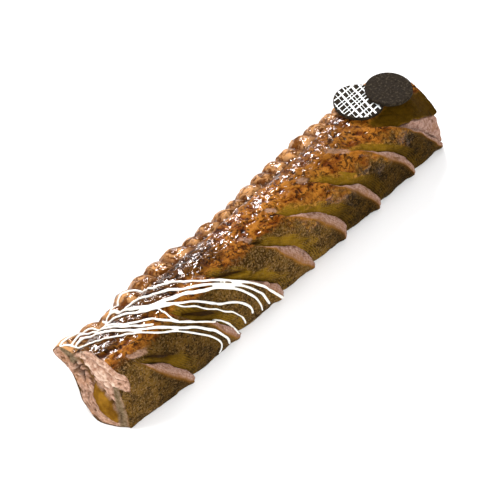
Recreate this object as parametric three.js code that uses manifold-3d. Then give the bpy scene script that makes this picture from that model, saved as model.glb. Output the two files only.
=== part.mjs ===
// Long pain au chocolat: one folded sheet of laminated dough, crimped along its left
// edge and opened by eight slanting slits along its folded right flank, with chocolate
// showing in the slits, white chocolate drizzle over the near third and two round
// chocolate plaques lying on the far end.
// Millimetres, +Z up, +X along the length; the near open end faces -X.
import * as THREE from 'three';
import { mergeVertices } from 'three/addons/utils/BufferGeometryUtils.js';
import Module from 'manifold-3d';

// ---- driving dimensions -------------------------------------------------
const FAR_X = 148;              // where the rounded far end starts
const LIP_RISE = 1.5;           // how far the far edge of each strip lifts
const SLIT_DEPTH = 3.3;         // depth of a slit under the strip's surface
const SLIT_WIDTH = 13;          // width of the ramp that climbs out of a slit
const DISC_THICK = 2.2;         // chocolate plaques
const LATTICE_R = 15.6, LATTICE_X = 105.6, LATTICE_Y = 11.0, LATTICE_Z = 44.95;
const PLAIN_R = 14.8, PLAIN_X = 123.7, PLAIN_Y = 1.5, PLAIN_Z = 48.2;
const BUMP_X = 132, BUMP_Y = 3, BUMP_R = 6.5, BUMP_H = 3;  // swelling that the plain plaque rests on
const LINE_THICK = 0.35;        // white lattice lines
const STRAND_R = 0.75;          // half thickness of a drizzle strand
const GAP = 0.35;               // gap kept between neighbouring pieces

// ---- cross-section, 20 control points (y, z) going round from the ridge down the
// slit flank (-Y), along the base, up behind the crimp (+Y) and back over the groove
const SECTIONS = [
  { x: -150, p: [[3.9, 46.1], [-6, 46], [-15.7, 44], [-21.5, 42], [-23.5, 35], [-24, 20], [-24, 6], [-22.2, 0], [-15, 0], [-5, 0], [5, 0], [10, 3], [12.5, 12], [16.6, 23.1], [21.5, 27.5], [25.6, 30.6], [24, 35.5], [20.5, 39], [15, 41], [9.5, 44]] },
  { x: -112, p: [[4, 46], [-5, 45.3], [-13.5, 42], [-20, 35], [-24, 25], [-26.7, 13], [-27.3, 4], [-25, 0], [-16, 0], [-5, 0], [5, 0], [10, 3], [12.5, 12], [16.5, 22], [23, 27], [28, 31], [25.3, 35.5], [19.5, 38.3], [14.5, 39.5], [10, 43.5]] },
  { x: 40, p: [[4.5, 45.6], [-4.5, 45], [-13.5, 41.8], [-20, 35], [-24, 25], [-26.5, 13], [-27, 4], [-24.7, 0], [-16, 0], [-5, 0], [5, 0], [10, 3], [12.5, 12], [16.5, 22], [23, 27], [28, 31], [25.3, 35.5], [19.8, 38.3], [15, 39.5], [10.5, 43.3]] },
  { x: 95, p: [[8, 42.8], [-1, 42.6], [-10.5, 40.3], [-18.3, 34.5], [-23, 25], [-26, 13], [-27, 4], [-24.5, 0], [-16, 0], [-5, 0], [5, 0], [10, 3], [12.5, 12], [16.5, 22], [23.5, 27], [28.5, 31], [26.3, 35], [21, 38], [17.5, 39.6], [14, 42]] },
  { x: 126, p: [[8, 43.1], [0, 43.0], [-9, 41], [-16.8, 35], [-22.3, 25.5], [-25.8, 13], [-27.3, 4], [-25, 0], [-16, 0], [-5, 0], [5, 0], [10, 3], [12.5, 12], [16, 21.5], [23, 26.5], [28.5, 30.5], [26, 35.5], [20.5, 39], [17, 40.7], [13.5, 42.4]] },
  { x: 148, p: [[4, 37.5], [-4, 36], [-11, 32], [-16.5, 27], [-21, 20], [-24, 12], [-26, 4], [-24, 0], [-15, 0], [-5, 0], [5, 0], [9, 3], [11.5, 10], [14, 17], [19, 21.5], [23.5, 25.5], [20.5, 30.5], [15.5, 33.5], [12, 35], [8.5, 37]] },
];
const N_CTRL = 20;

// x of each slit's sharp edge at section parameter 0..7 (ridge to base)
const SLITS = [
  [-143.5, -141.5, -138.5, -133.5, -116.5, -106, -100.5, -99],
  [-107, -103, -97.5, -88.5, -75, -64, -58, -56.5],
  [-77, -70, -61.5, -49.5, -35, -21.5, -18, -17],
  [-36.5, -33, -27.5, -14.5, 0, 9, 12.8, 14],
  [-8, -3.5, 4, 21, 33.5, 43.7, 45.5, 46],
  [18, 27.5, 38.5, 50.5, 66.5, 75.5, 78.5, 79],
  [52, 61.5, 73, 87, 101.5, 112, 114.5, 115],
  [79, 88, 99.5, 113, 126, 138, 145, 145.8],
];
// width along x of the pale cut face behind each sharp edge, at the same places
const CUT_FACE = [
  [0, 0, 0, 2.5, 8.5, 7, 3.3, 2],
  [0, 0, 0, 1, 3, 6, 4.5, 2],
  [0, 0, 0, 0.8, 2.5, 6, 4, 2],
  [0, 0, 0, 3, 9, 8.5, 3.5, 2],
  [0, 0, 1, 6.5, 8, 8.5, 5, 2.5],
  [0, 0, 0, 2.5, 8.5, 7, 4, 2],
  [0, 0, 0, 3, 7.5, 5.5, 3, 2],
  [0, 0, 0, 1.5, 3, 4, 2.5, 1],
];
const SLIT_TOP = [2.0, 0.9, 0.75, 1.2, 0.7, 0.75, 0.9, 0.9];        // section parameter where each slit starts
const SLIT_DEEPER = [1.2, 1.2, 1.15, 1.05, 0.95, 0.95, 0.95, 0.8];  // depth of each slit relative to SLIT_DEPTH
// crimped edge: x of the valleys between the crimps, and how far out (y) each crimp reaches
const VALLEY_X = [-158, -135.6, -121.8, -107.7, -92.9, -78.4, -65.1, -47.6, -37.4, -21.5, -8.2, 1, 17.5, 29.1, 42.3, 56.3, 70.6, 85.8, 98.1, 110.6, 124, 137, 152];
const CRIMP_Y = [30.4, 27.5, 25.1, 30.2, 30.5, 30.8, 30.4, 26.6, 27.3, 26.9, 26.9, 28.4, 28.6, 29.1, 29, 30.4, 29.3, 28.5, 28.9, 29, 28, 25];

const smooth = (t) => { const c = Math.min(1, Math.max(0, t)); return c * c * (3 - 2 * c); };
const spline = (a, b, c, d, t) => 0.5 * (2 * b + (c - a) * t + (2 * a - 5 * b + 4 * c - d) * t * t + (3 * b - a - 3 * c + d) * t * t * t);

// control polygon at x
function controls(x) {
  let i = 0;
  while (i < SECTIONS.length - 2 && x > SECTIONS[i + 1].x) i++;
  const a = SECTIONS[i], b = SECTIONS[i + 1], w = smooth((x - a.x) / (b.x - a.x));
  return a.p.map((p, k) => [p[0] + (b.p[k][0] - p[0]) * w, p[1] + (b.p[k][1] - p[1]) * w]);
}
// point of the plain section at (x, tau)
function section(x, tau) {
  const c = controls(x), i = Math.floor(tau), t = tau - i, at = (k) => c[((k % N_CTRL) + N_CTRL) % N_CTRL];
  const [a, b, d, e] = [at(i - 1), at(i), at(i + 1), at(i + 2)];
  const z = spline(a[1], b[1], d[1], e[1], t);
  return [spline(a[0], b[0], d[0], e[0], t), tau >= 7 && tau <= 10 ? 0 : Math.max(0, z)];
}
function outward(x, tau) {
  const a = section(x, tau - 0.15), b = section(x, tau + 0.15);
  const ty = b[0] - a[0], tz = b[1] - a[1], l = Math.hypot(ty, tz) || 1;
  return [tz / l, -ty / l];
}
// the open near end: a rim that swells out at the foot
function nearX(y, z) {
  return -149.6 - 2.4 * smooth((y - 4) / 12) - 6.2 * Math.exp(-(((y + 5) / 12) ** 2)) * (1 - smooth(z / 30)) + 1.8 * smooth((-y - 16) / 6);
}
function along(s, tau) {
  const t0 = Math.min(7, Math.max(0, tau)), i = Math.min(6, Math.floor(t0)), t = t0 - i, at = (j) => s[Math.min(7, Math.max(0, j))];
  return spline(at(i - 1), at(i), at(i + 1), at(i + 2), t);
}
// slit k (0 = near end, 1..8 slits, 9 = far end plane) at parameter tau
function slitX(k, tau) {
  if (k === 0) { const [y, z] = section(-150, tau); return nearX(y, z); }
  if (k === 9) return FAR_X;
  const s = SLITS[k - 1];
  return tau <= 7 ? along(s, tau) : s[7] + (s[0] - s[7]) * smooth((tau - 7) / 6.5);
}
// how far open slit k is along its run, its depth, the lift of its lip and its cut face
const openness = (k, tau) => (tau > 9 || k < 1 ? 0 : smooth((tau - SLIT_TOP[k - 1]) / 1.5) * (1 - smooth((tau - 7.3) / 1.4)));
const depthAt = (k, tau) => SLIT_DEPTH * SLIT_DEEPER[k - 1] * (0.5 + 0.5 * smooth((tau - 1.5) / 2.2)) * (1 - 0.25 * smooth((tau - 4.4) / 2));
const riseAt = (tau) => LIP_RISE * (0.55 + 0.45 * smooth((tau - 1.5) / 2.2) + 0.45 * smooth((tau - 4) / 2));
const cutAt = (k, tau) => (tau > 9 ? 0 : Math.max(0, along(CUT_FACE[k - 1], tau)) * openness(k, tau));

function crimpAt(x) {                  // 0..1 over a crimp, its reach, and the place across it
  let i = 0;
  while (i < CRIMP_Y.length - 1 && x > VALLEY_X[i + 1]) i++;
  const f = Math.min(1, Math.max(0, (x - VALLEY_X[i]) / (VALLEY_X[i + 1] - VALLEY_X[i])));
  const mid = (j) => (VALLEY_X[j] + VALLEY_X[j + 1]) / 2;
  let j = 0;
  while (j < CRIMP_Y.length - 2 && x > mid(j + 1)) j++;
  const w = Math.min(1, Math.max(0, (x - mid(j)) / (mid(j + 1) - mid(j))));
  return [Math.pow(Math.sin(Math.PI * f), 0.6), CRIMP_Y[j] + (CRIMP_Y[j + 1] - CRIMP_Y[j]) * w, f];
}
function surfacePoint(x, tau, h) {
  let [y, z] = section(x, tau);
  const n = outward(x, tau);
  const flat = smooth((tau - 4.4) / 1.6) * (tau < 12 ? 1 : 0);
  const ny = n[0] * (1 - flat) - flat, nz = n[1] * (1 - flat);
  const swell = (tau < 3 || tau > 17) ? BUMP_H * Math.exp(-((x - BUMP_X) ** 2 + (y - BUMP_Y) ** 2) / BUMP_R ** 2) : 0;
  y += ny * h; z += nz * h + swell;
  if (tau > 12 && tau < 19.9) {
    const [lobe, reach, f] = crimpAt(x), tip = section(x, 15)[0];
    const cr = smooth((tau - 12.6) / 2.2) * (1 - smooth((tau - 15.9) / 2.0));
    y += (reach - 1.1 - tip - 2.6 * (1 - lobe)) * cr;
    const press = smooth((tau - 14.9) / 0.8) * (1 - smooth((tau - 17.2) / 1.0));
    z += (-2.0 * (1 - lobe) + 0.9 * (lobe - 0.5) + 0.9 * (f - 0.5)) * press - 1.3 * Math.exp(-(((tau - 18.15) / 0.42) ** 2));
  }
  return new THREE.Vector3(x, y, Math.max(0, z));
}

// columns of the dough surface: the ramp out of a slit, the strip, its lip, the cut face
// behind the lip and the undercut below it
const RAMP = [0.02, 0.14, 0.32, 0.58, 1];
const LIP = [0, 0.35, 0.68, 0.88, 1];
function columns() {
  const cols = [];
  for (let k = 0; k <= 8; k++) {
    if (k === 0) for (const f of [0, 0.18, 0.4, 0.7]) cols.push({ k, head: f });
    else {
      for (const f of RAMP) cols.push({ k, ramp: f });
      if (k < 8) for (const f of [0.3, 0.62]) cols.push({ k, mid: f });
    }
    if (k < 8) {
      for (const f of LIP) cols.push({ k, lip: f });
      for (const f of [0.5, 1]) cols.push({ k, face: f });
      cols.push({ k, foot: 1 });
    } else for (const f of [0.18, 0.4, 0.6, 0.8, 1]) cols.push({ k, tail: f });
  }
  return cols;
}
function columnPoint(c, tau) {
  const a = slitX(c.k, tau), b = slitX(c.k + 1, tau), L = b - a, near = Math.min(1, L / 32);
  const A = riseAt(tau), ramp = SLIT_WIDTH * near, q = c.k + 1;
  const oa = openness(c.k, tau), ob = c.k < 8 ? openness(q, tau) : 0;
  const W = c.k < 8 ? cutAt(q, tau) * Math.min(1, near * 1.1) : 0, lip = W + 1.2 * near, wide = 7 * near;
  if (c.head !== undefined) return surfacePoint(a + (L - lip - wide) * c.head, tau, 0);
  if (c.ramp !== undefined) return surfacePoint(a + 0.1 + ramp * c.ramp, tau, -depthAt(c.k, tau) * Math.pow(1 - c.ramp, 1.7) * oa);
  if (c.mid !== undefined) return surfacePoint(a + ramp + (L - ramp - wide - lip) * c.mid, tau, 0.2 * A * c.mid * ob);
  if (c.tail !== undefined) return surfacePoint(a + ramp + (L - ramp) * c.tail, tau, 0);
  if (c.lip !== undefined) return surfacePoint(b - lip - wide * (1 - c.lip), tau, A * (0.2 + 0.8 * smooth(c.lip)) * ob);
  const drop = 0.46 * W + 0.3;
  if (c.face !== undefined) return surfacePoint(b - lip * (1 - c.face) - 0.35 * near * (1 - ob) * c.face, tau, (A - drop * c.face) * ob);
  return surfacePoint(b - 0.1 * near - 0.5 * near * ob, tau, -depthAt(q, tau) * ob);
}
const TAUS = [0, 0.35, 0.7, 1, 1.3, 1.6, 1.9, 2.2, 2.5, 2.8, 3.1, 3.4, 3.7, 4, 4.35, 4.7, 5.05, 5.4, 5.8, 6.2, 6.6, 7, 8, 9, 10, 11, 12, 13, 13.7, 14.4, 15, 15.4, 15.9, 16.4, 16.9, 17.4, 17.8, 18.15, 18.5, 19, 19.5];

function solidFrom(positions, index) {
  const g = new THREE.BufferGeometry();
  g.setAttribute('position', new THREE.Float32BufferAttribute(positions, 3));
  g.setIndex(index);
  return g;
}
function doughGeometry() {
  const cols = columns(), nr = TAUS.length, pos = [], idx = [];
  const put = (v) => { pos.push(v.x, v.y, v.z); return pos.length / 3 - 1; };
  const grid = cols.map((c) => TAUS.map((t) => put(columnPoint(c, t))));
  const quad = (a, b, c, d) => idx.push(a, b, c, a, c, d);
  for (let i = 0; i + 1 < grid.length; i++) for (let j = 0; j < nr; j++) {
    const n = (j + 1) % nr;
    quad(grid[i][j], grid[i][n], grid[i + 1][n], grid[i + 1][j]);
  }
  // ends: rings drawn in towards the middle, a rolled outer sheet round a torn inside
  const cap = (ring, centre, steps, place, sign) => {
    let last = ring;
    for (const [scale, dx] of steps) {
      const next = ring.map((id) => {
        const y = centre[0] + (pos[3 * id + 1] - centre[0]) * scale, z = centre[1] + (pos[3 * id + 2] - centre[1]) * scale;
        return put(new THREE.Vector3(place(y, z) + sign * dx, y, z));
      });
      for (let j = 0; j < nr; j++) {
        const n = (j + 1) % nr;
        if (sign < 0) quad(last[j], next[j], next[n], last[n]); else quad(last[j], last[n], next[n], next[j]);
      }
      last = next;
    }
    const mid = put(new THREE.Vector3(place(centre[0], centre[1]) + sign * steps[steps.length - 1][1], centre[0], centre[1]));
    for (let j = 0; j < nr; j++) {
      const n = (j + 1) % nr;
      if (sign < 0) idx.push(last[j], mid, last[n]); else idx.push(last[j], last[n], mid);
    }
  };
  cap(grid[0], [-3, 21], [[0.985, -0.3], [0.955, -0.9], [0.9, -1.5], [0.84, -1.3], [0.72, -0.6], [0.58, -0.2], [0.42, 0.5], [0.25, 0.4], [0.1, 0.2]], nearX, -1);
  cap(grid[grid.length - 1], [-3, 16], [[0.97, 0.7], [0.9, 1.3], [0.78, 1.5], [0.6, 1.2], [0.4, 1.0], [0.2, 1.1]], () => FAR_X, 1);
  return solidFrom(pos, idx);
}

// height of the baked surface over the plain section, measured along the outward direction
const ray = new THREE.Raycaster();
function heightAt(x, tau) {
  const from = surfacePoint(x, tau, 16), to = surfacePoint(x, tau, 0);
  ray.set(from, to.sub(from).normalize());
  const hit = ray.intersectObject(doughMesh)[0];
  return hit ? 16 - hit.distance : 0;
}

// chocolate filling: a lens of chocolate lying along a line on the floor of a slit
function fillingGeometry([x0, t0, x1, t1], halfWidth, thick) {
  const n = 11, m = 4, pos = [], idx = [];
  const put = (v) => { pos.push(v.x, v.y, v.z); return pos.length / 3 - 1; };
  const rows = [];
  const lift = (x, tau) => Math.max(...[[-0.9, 0], [0.9, 0], [0, -0.1], [0, 0.1], [0, 0]].map(([dx, dt]) => heightAt(x + dx, tau + dt))) + GAP;
  for (let i = 1; i < n; i++) {
    const f = i / n, tau = t0 + (t1 - t0) * f, hw = halfWidth * Math.sin(Math.PI * f), row = [];
    for (let j = 0; j <= m; j++) {
      const x = x0 + (x1 - x0) * f + hw * (2 * j / m - 1), up = lift(x, tau);
      row.push([surfacePoint(x, tau, up), surfacePoint(x, tau, up + thick * Math.sin(Math.PI * f) * (0.3 + 0.7 * Math.sin(Math.PI * j / m)))]);
    }
    rows.push(row.map((r) => [put(r[0]), put(r[1])]));
  }
  const tip = (f) => { const tau = t0 + (t1 - t0) * f, x = x0 + (x1 - x0) * f; return put(surfacePoint(x, tau, lift(x, tau) + 0.08)); };
  const a = tip(0), b = tip(1), q = (p, r, s, t) => idx.push(p, r, s, p, s, t);
  for (let i = 0; i + 1 < rows.length; i++) {
    const R = rows[i], S = rows[i + 1];
    for (let j = 0; j < m; j++) {
      q(R[j][1], S[j][1], S[j + 1][1], R[j + 1][1]);
      q(R[j][0], R[j + 1][0], S[j + 1][0], S[j][0]);
    }
    q(R[0][0], S[0][0], S[0][1], R[0][1]);
    q(R[m][0], R[m][1], S[m][1], S[m][0]);
  }
  const R = rows[0], S = rows[rows.length - 1];
  for (let j = 0; j < m; j++) {
    idx.push(a, R[j][1], R[j + 1][1], a, R[j + 1][0], R[j][0]);
    idx.push(b, S[j + 1][1], S[j][1], b, S[j][0], S[j + 1][0]);
  }
  idx.push(a, R[0][0], R[0][1], a, R[m][1], R[m][0]);
  idx.push(b, S[0][1], S[0][0], b, S[m][0], S[m][1]);
  return orient(solidFrom(pos, idx));
}
// turn a closed mesh so that its faces point outwards
function orient(g) {
  const p = g.attributes.position, ix = g.index.array;
  const a = new THREE.Vector3(), b = new THREE.Vector3(), c = new THREE.Vector3();
  let vol = 0;
  for (let i = 0; i < ix.length; i += 3) {
    a.fromBufferAttribute(p, ix[i]); b.fromBufferAttribute(p, ix[i + 1]); c.fromBufferAttribute(p, ix[i + 2]);
    vol += a.dot(b.cross(c));
  }
  if (vol < 0) { const r = Array.from(ix); for (let i = 0; i < r.length; i += 3) [r[i + 1], r[i + 2]] = [r[i + 2], r[i + 1]]; g.setIndex(r); }
  return g;
}

const doughShape = orient(doughGeometry());
const doughMesh = new THREE.Mesh(doughShape, new THREE.MeshBasicMaterial({ side: THREE.DoubleSide }));

// ---- solids to join ------------------------------------------------------
const wasm = await Module();
wasm.setup();
function toSolid(g) {
  const clean = g.clone();
  clean.deleteAttribute('normal'); clean.deleteAttribute('uv');
  const m = mergeVertices(clean, 1e-4);
  return new wasm.Manifold(new wasm.Mesh({ numProp: 3, vertProperties: new Float32Array(m.attributes.position.array), triVerts: new Uint32Array(m.index.array) }));
}
function fromSolid(s) {
  const m = s.getMesh();
  return solidFrom(Array.from(m.vertProperties), Array.from(m.triVerts));
}
function joined(list) { let s = list[0]; for (const o of list.slice(1)) s = s.add(o); return s; }

// a strand of drizzle as a flattened tube through (x, tau) stations, lying over the dough
const STRANDS = [
  [[-147.3, -1.14], [-142.6, -0.45], [-138.1, 0], [-133.4, 0.39], [-130.2, 0.68], [-126.8, 0.89], [-122.9, 1.18], [-118.2, 1.59], [-114.3, 1.94], [-110.3, 2.23], [-104.7, 2.52], [-98.2, 3.07], [-89.1, 3.82], [-82.6, 4.37], [-77.4, 4.95], [-75.5, 5.6], [-77.6, 6.2]],
  [[-148.1, -2.19], [-141.9, -2.33], [-137, -1.95], [-135, -1.03], [-132.3, -0.28], [-129.1, 0.32], [-125.4, 0.68], [-121.1, 1.11], [-118, 1.36], [-112.1, 1.73], [-105.5, 2.23], [-99.6, 2.66], [-93.8, 3.07], [-87.2, 3.52], [-82.3, 3.93], [-77.8, 4.3], [-73.1, 4.85], [-69.8, 5.5], [-68.5, 6.1]],
  [[-151, -3.25], [-148.3, -3.45], [-145, -3.4], [-141, -3.35], [-136, -3.45], [-133.2, -3.1], [-131.4, -2.4], [-129.2, -1.3], [-125.2, 0], [-120.4, 0.47], [-115.2, 0.82], [-110.7, 1.11], [-106.9, 1.45], [-103.7, 1.87], [-100.3, 2.23], [-95.3, 2.59], [-88.6, 3.07], [-77.5, 3.82], [-69.1, 4.4], [-63.3, 5], [-58.5, 6.1]],
  [[-117.2, -3.3], [-114.2, -2.6], [-113.1, -1.35], [-110.5, -0.25], [-103.9, 0.47], [-97.2, 0.75], [-89.5, 1.11], [-82.4, 1.45], [-73.8, 1.94], [-66.3, 2.31], [-58.3, 2.87], [-51.2, 3.45], [-46.9, 3.99], [-42, 4.58], [-39.2, 5.2], [-38.5, 5.8]],
  [[-117.2, -3.3], [-113, -3.5], [-108.5, -3.65], [-103.4, -3.65], [-98.9, -3.45], [-95.6, -2.99], [-93.9, -2.1], [-92.3, -0.9], [-87.2, -0.1], [-83, 0.22], [-78.1, 0.72], [-74.5, 1.03], [-71.1, 1.42], [-65.1, 1.87], [-57.4, 2.45], [-50.3, 3], [-42.6, 3.58], [-35.1, 4.22], [-30.6, 4.7], [-24.1, 5.5], [-20.5, 6.2]],
  [[-112, 0.15], [-107, 0.42], [-101.2, 0.72], [-95.9, 1.03], [-93.5, 1.32], [-89.7, 1.6], [-85.3, 1.87], [-77.5, 2.52], [-71.6, 3], [-68.2, 3.26], [-60.6, 3.66], [-52.7, 4.27], [-47.1, 4.85], [-46, 5.35]],
  [[-113.1, -1.5], [-110, -1.35], [-107, -1.22], [-102.7, -1], [-98.9, -0.6], [-95.2, 0.05], [-88.4, 0.42], [-81.3, 1.12], [-72.8, 1.59], [-66.4, 2.02], [-59, 2.59], [-50.7, 3.22], [-40, 4.22], [-34.9, 4.8], [-30.8, 5.8]],
  [[-93.8, 1.32], [-89.9, 1.85], [-84, 2.31], [-81, 2.66], [-76.7, 3.05], [-71.2, 3.42], [-65.7, 3.93], [-60.6, 4.32], [-54.4, 4.97], [-52.6, 5.7]],
  [[-109.6, 0.22], [-105.3, 0.54], [-102, 0.96], [-101.5, 1.5], [-100.9, 1.98], [-98.4, 2.31]],
  [[-148.9, -2.48], [-142, -2.75], [-138.1, -2.87], [-133.6, -2.3], [-130.2, -0.9], [-125.6, 0.22], [-121.6, 0.66], [-118, 1.08], [-111.5, 1.5]],
  [[-151, -3.25], [-149.8, -2.8], [-148.1, -2.19], [-147.3, -1.14]],
  [[-124.3, -2.6], [-119.8, -1.1], [-115.2, -0.12], [-109.5, 0.45], [-102.3, 0.82], [-96.9, 1.15], [-90.2, 1.5]],
  [[-128.6, -1.1], [-124.8, -1.9], [-121, -2.6], [-117.2, -3.3]],
];

function strandGeometry(stations) {
  const sides = 6, fine = [], last = stations.length - 1;
  const val = (c, u) => { const i = Math.min(last - 1, Math.floor(u)), t = u - i, at = (j) => stations[Math.min(last, Math.max(0, j))][c]; return spline(at(i - 1), at(i), at(i + 1), at(i + 2), t); };
  const wrap = (t) => ((t % N_CTRL) + N_CTRL) % N_CTRL;
  for (let i = 0; i < last; i++) {
    const [xa, ta] = stations[i], [xb, tb] = stations[i + 1];
    const steps = Math.max(1, Math.round(Math.hypot(xb - xa, (tb - ta) * 9) / 1.1));
    for (let j = 0; j < steps; j++) fine.push(i + j / steps);
  }
  fine.push(last);
  const at = fine.map((u) => [val(0, u), wrap(val(1, u))]);
  const h = at.map(([x, tau]) => Math.max(heightAt(x - 0.9, tau), heightAt(x, tau), heightAt(x + 0.9, tau)));
  const pts = [];
  for (let i = 0; i < at.length; i++) {
    if (i % 3 && i !== at.length - 1) continue;
    let up = -9;
    for (let j = Math.max(0, i - 3); j <= Math.min(at.length - 1, i + 3); j++) up = Math.max(up, h[j]);
    pts.push(surfacePoint(at[i][0], at[i][1], up + STRAND_R + GAP + 0.1));
  }
  const path = new THREE.CatmullRomCurve3(pts);
  const shape = new THREE.Shape();
  for (let j = 0; j < sides; j++) {
    const a = 2 * Math.PI * j / sides;
    if (j === 0) shape.moveTo(STRAND_R * Math.cos(a), STRAND_R * 1.1 * Math.sin(a)); else shape.lineTo(STRAND_R * Math.cos(a), STRAND_R * 1.1 * Math.sin(a));
  }
  return new THREE.ExtrudeGeometry(shape, { steps: Math.round(pts.length * 1.15), bevelEnabled: false, extrudePath: path });
}

// round chocolate plaque with slightly eased edges
function plaqueGeometry(r) {
  const e = 0.35, t = DISC_THICK / 2;
  const profile = [[0, -t], [r - e, -t], [r, -t + e], [r, t - e], [r - e, t], [0, t]].map((p) => new THREE.Vector2(p[0], p[1]));
  const g = new THREE.LatheGeometry(profile, 56);
  g.rotateX(Math.PI / 2);
  g.deleteAttribute('normal'); g.deleteAttribute('uv');
  return mergeVertices(g, 1e-4);
}
// white lattice lines: two families of unequal bars trimmed by the plaque's edge
const BARS_ALONG = [[11.0, 12.1], [6.9, 7.6], [4.7, 5.5], [1.2, 1.9], [-1.0, -0.2], [-3.9, -2.7], [-8.6, -7.4], [-12.4, -11.2]];
const BARS_ACROSS = [[-14.4, -13.7], [-9.6, -9.2], [-7.0, -5.2], [-2.7, -1.8], [-0.3, 0.1], [2.4, 4.2], [7.2, 8.6], [11.7, 12.6]];
function latticeSolid() {
  const disc = toSolid(new THREE.ExtrudeGeometry(circle(LATTICE_R - 0.5, 56), { depth: LINE_THICK, bevelEnabled: false }));
  const bar = (lo, hi, turn) => {
    const g = new THREE.BoxGeometry(2 * LATTICE_R + 4, hi - lo, LINE_THICK * 3);
    g.translate(0, (lo + hi) / 2, LINE_THICK / 2);
    g.rotateZ(turn);
    return toSolid(g);
  };
  const bars = [...BARS_ALONG.map((b) => bar(b[0], b[1], -0.03)), ...BARS_ACROSS.map((b) => bar(b[0], b[1], -1.95))];
  return joined(bars).intersect(disc);
}
function circle(r, n) {
  const s = new THREE.Shape();
  for (let i = 0; i < n; i++) { const a = 2 * Math.PI * i / n; if (i) s.lineTo(r * Math.cos(a), r * Math.sin(a)); else s.moveTo(r, 0); }
  return s;
}

// ---- assembly ------------------------------------------------------------
const material = (color, roughness) => new THREE.MeshStandardMaterial({ color, roughness, metalness: 0 });
const DOUGH = material('#a9672c', 0.55), DARK = material('#3a2316', 0.4), WHITE = material('#f7f1e4', 0.45), FILLING = material('#33190d', 0.35);
const group = new THREE.Group();
function add(name, geometry, mat) {
  const mesh = new THREE.Mesh(geometry, mat);
  mesh.name = name;
  group.add(mesh);
  return mesh;
}
add('pastry', doughShape, DOUGH);
add('chocolate_filling_1', fillingGeometry([-128.5, 2.64, -112.5, 3.74], 2.3, 1.3), FILLING);
add('chocolate_filling_2', fillingGeometry([-92, 2.2, -71, 3.82], 2.4, 1.3), FILLING);
add('chocolate_filling_3', fillingGeometry([-62, 1.74, -42.5, 2.78], 2.1, 1.2), FILLING);
add('chocolate_filling_4', fillingGeometry([-28, 1.7, -22.5, 2.06], 1.4, 0.9), FILLING);
add('white_drizzle', fromSolid(joined(STRANDS.map((s) => toSolid(strandGeometry(s))))), WHITE);
const lattice = add('lattice_chocolate_disc', plaqueGeometry(LATTICE_R), DARK);
lattice.position.set(LATTICE_X, LATTICE_Y, LATTICE_Z);
const lines = add('white_lattice_lines', fromSolid(latticeSolid()), WHITE);
lines.position.set(LATTICE_X, LATTICE_Y, LATTICE_Z + DISC_THICK / 2 + GAP);
const plain = add('plain_chocolate_disc', plaqueGeometry(PLAIN_R), DARK);
plain.position.set(PLAIN_X, PLAIN_Y, PLAIN_Z);

// origin at the middle of the underside
group.updateMatrixWorld(true);
const box = new THREE.Box3().setFromObject(group, true);
const part = new THREE.Group();
group.position.set(-(box.min.x + box.max.x) / 2, -(box.min.y + box.max.y) / 2, -box.min.z);
part.add(group);
export default part;
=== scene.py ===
import math
import bpy
import numpy as np
from mathutils import Matrix, Vector
from mathutils.bvhtree import BVHTree


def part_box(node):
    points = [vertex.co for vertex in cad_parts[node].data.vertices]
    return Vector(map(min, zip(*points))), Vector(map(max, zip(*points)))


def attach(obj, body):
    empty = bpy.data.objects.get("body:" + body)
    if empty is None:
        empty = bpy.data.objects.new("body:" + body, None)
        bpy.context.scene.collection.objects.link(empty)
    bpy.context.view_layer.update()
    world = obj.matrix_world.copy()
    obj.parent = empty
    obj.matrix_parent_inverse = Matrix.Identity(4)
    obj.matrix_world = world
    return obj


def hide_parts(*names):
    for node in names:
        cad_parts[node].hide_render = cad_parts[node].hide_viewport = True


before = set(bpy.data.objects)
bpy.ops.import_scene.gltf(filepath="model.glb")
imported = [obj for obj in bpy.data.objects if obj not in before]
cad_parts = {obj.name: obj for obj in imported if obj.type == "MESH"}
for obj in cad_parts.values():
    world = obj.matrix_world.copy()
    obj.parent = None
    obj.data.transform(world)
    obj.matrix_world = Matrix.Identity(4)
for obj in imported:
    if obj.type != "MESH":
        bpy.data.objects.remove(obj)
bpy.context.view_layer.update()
MM = 0.001


def centre(node):
    lo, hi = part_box(node)
    return np.array([(lo[i] + hi[i]) / 2 for i in range(3)]) * 1000.0


# the dough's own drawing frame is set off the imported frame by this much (mm)
PLAIN_AT = (123.7, 1.5)  # where the plain plaque is in it
SHIFT = np.array([centre("plain_chocolate_disc")[0] - PLAIN_AT[0], centre("plain_chocolate_disc")[1] - PLAIN_AT[1], 0.0])

# ------------------------------------------------------------------ noise
def hash01(ix, iy, iz, seed):
    with np.errstate(over="ignore"):
        h = (ix.astype(np.uint32) * np.uint32(374761393) + iy.astype(np.uint32) * np.uint32(668265263)
             + iz.astype(np.uint32) * np.uint32(2246822519) + np.uint32((seed * 974634777 + 12345) & 0xFFFFFFFF))
        h = (h ^ (h >> np.uint32(13))) * np.uint32(1274126177)
        h = (h ^ (h >> np.uint32(15))) * np.uint32(2654435761)
        h = h ^ (h >> np.uint32(16))
    return h.astype(np.float64) / 4294967295.0


def vnoise(p, seed=0):
    f = np.floor(p)
    i = f.astype(np.int64)
    w = p - f
    w = w * w * w * (w * (w * 6 - 15) + 10)
    out = 0.0
    for dx in (0, 1):
        for dy in (0, 1):
            for dz in (0, 1):
                c = hash01(i[..., 0] + dx, i[..., 1] + dy, i[..., 2] + dz, seed)
                k = ((w[..., 0] if dx else 1 - w[..., 0]) * (w[..., 1] if dy else 1 - w[..., 1])
                     * (w[..., 2] if dz else 1 - w[..., 2]))
                out = out + c * k
    return out * 2 - 1


def fbm(p, seed=0, octaves=3):
    out, a, tot = 0.0, 1.0, 0.0
    for o in range(octaves):
        out = out + a * vnoise(p * (2.03 ** o), seed + 17 * o)
        tot += a
        a *= 0.5
    return out / tot


def smooth(t):
    t = np.clip(t, 0.0, 1.0)
    return t * t * (3 - 2 * t)


def mix(a, b, t):
    return a + (b - a) * t


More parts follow.
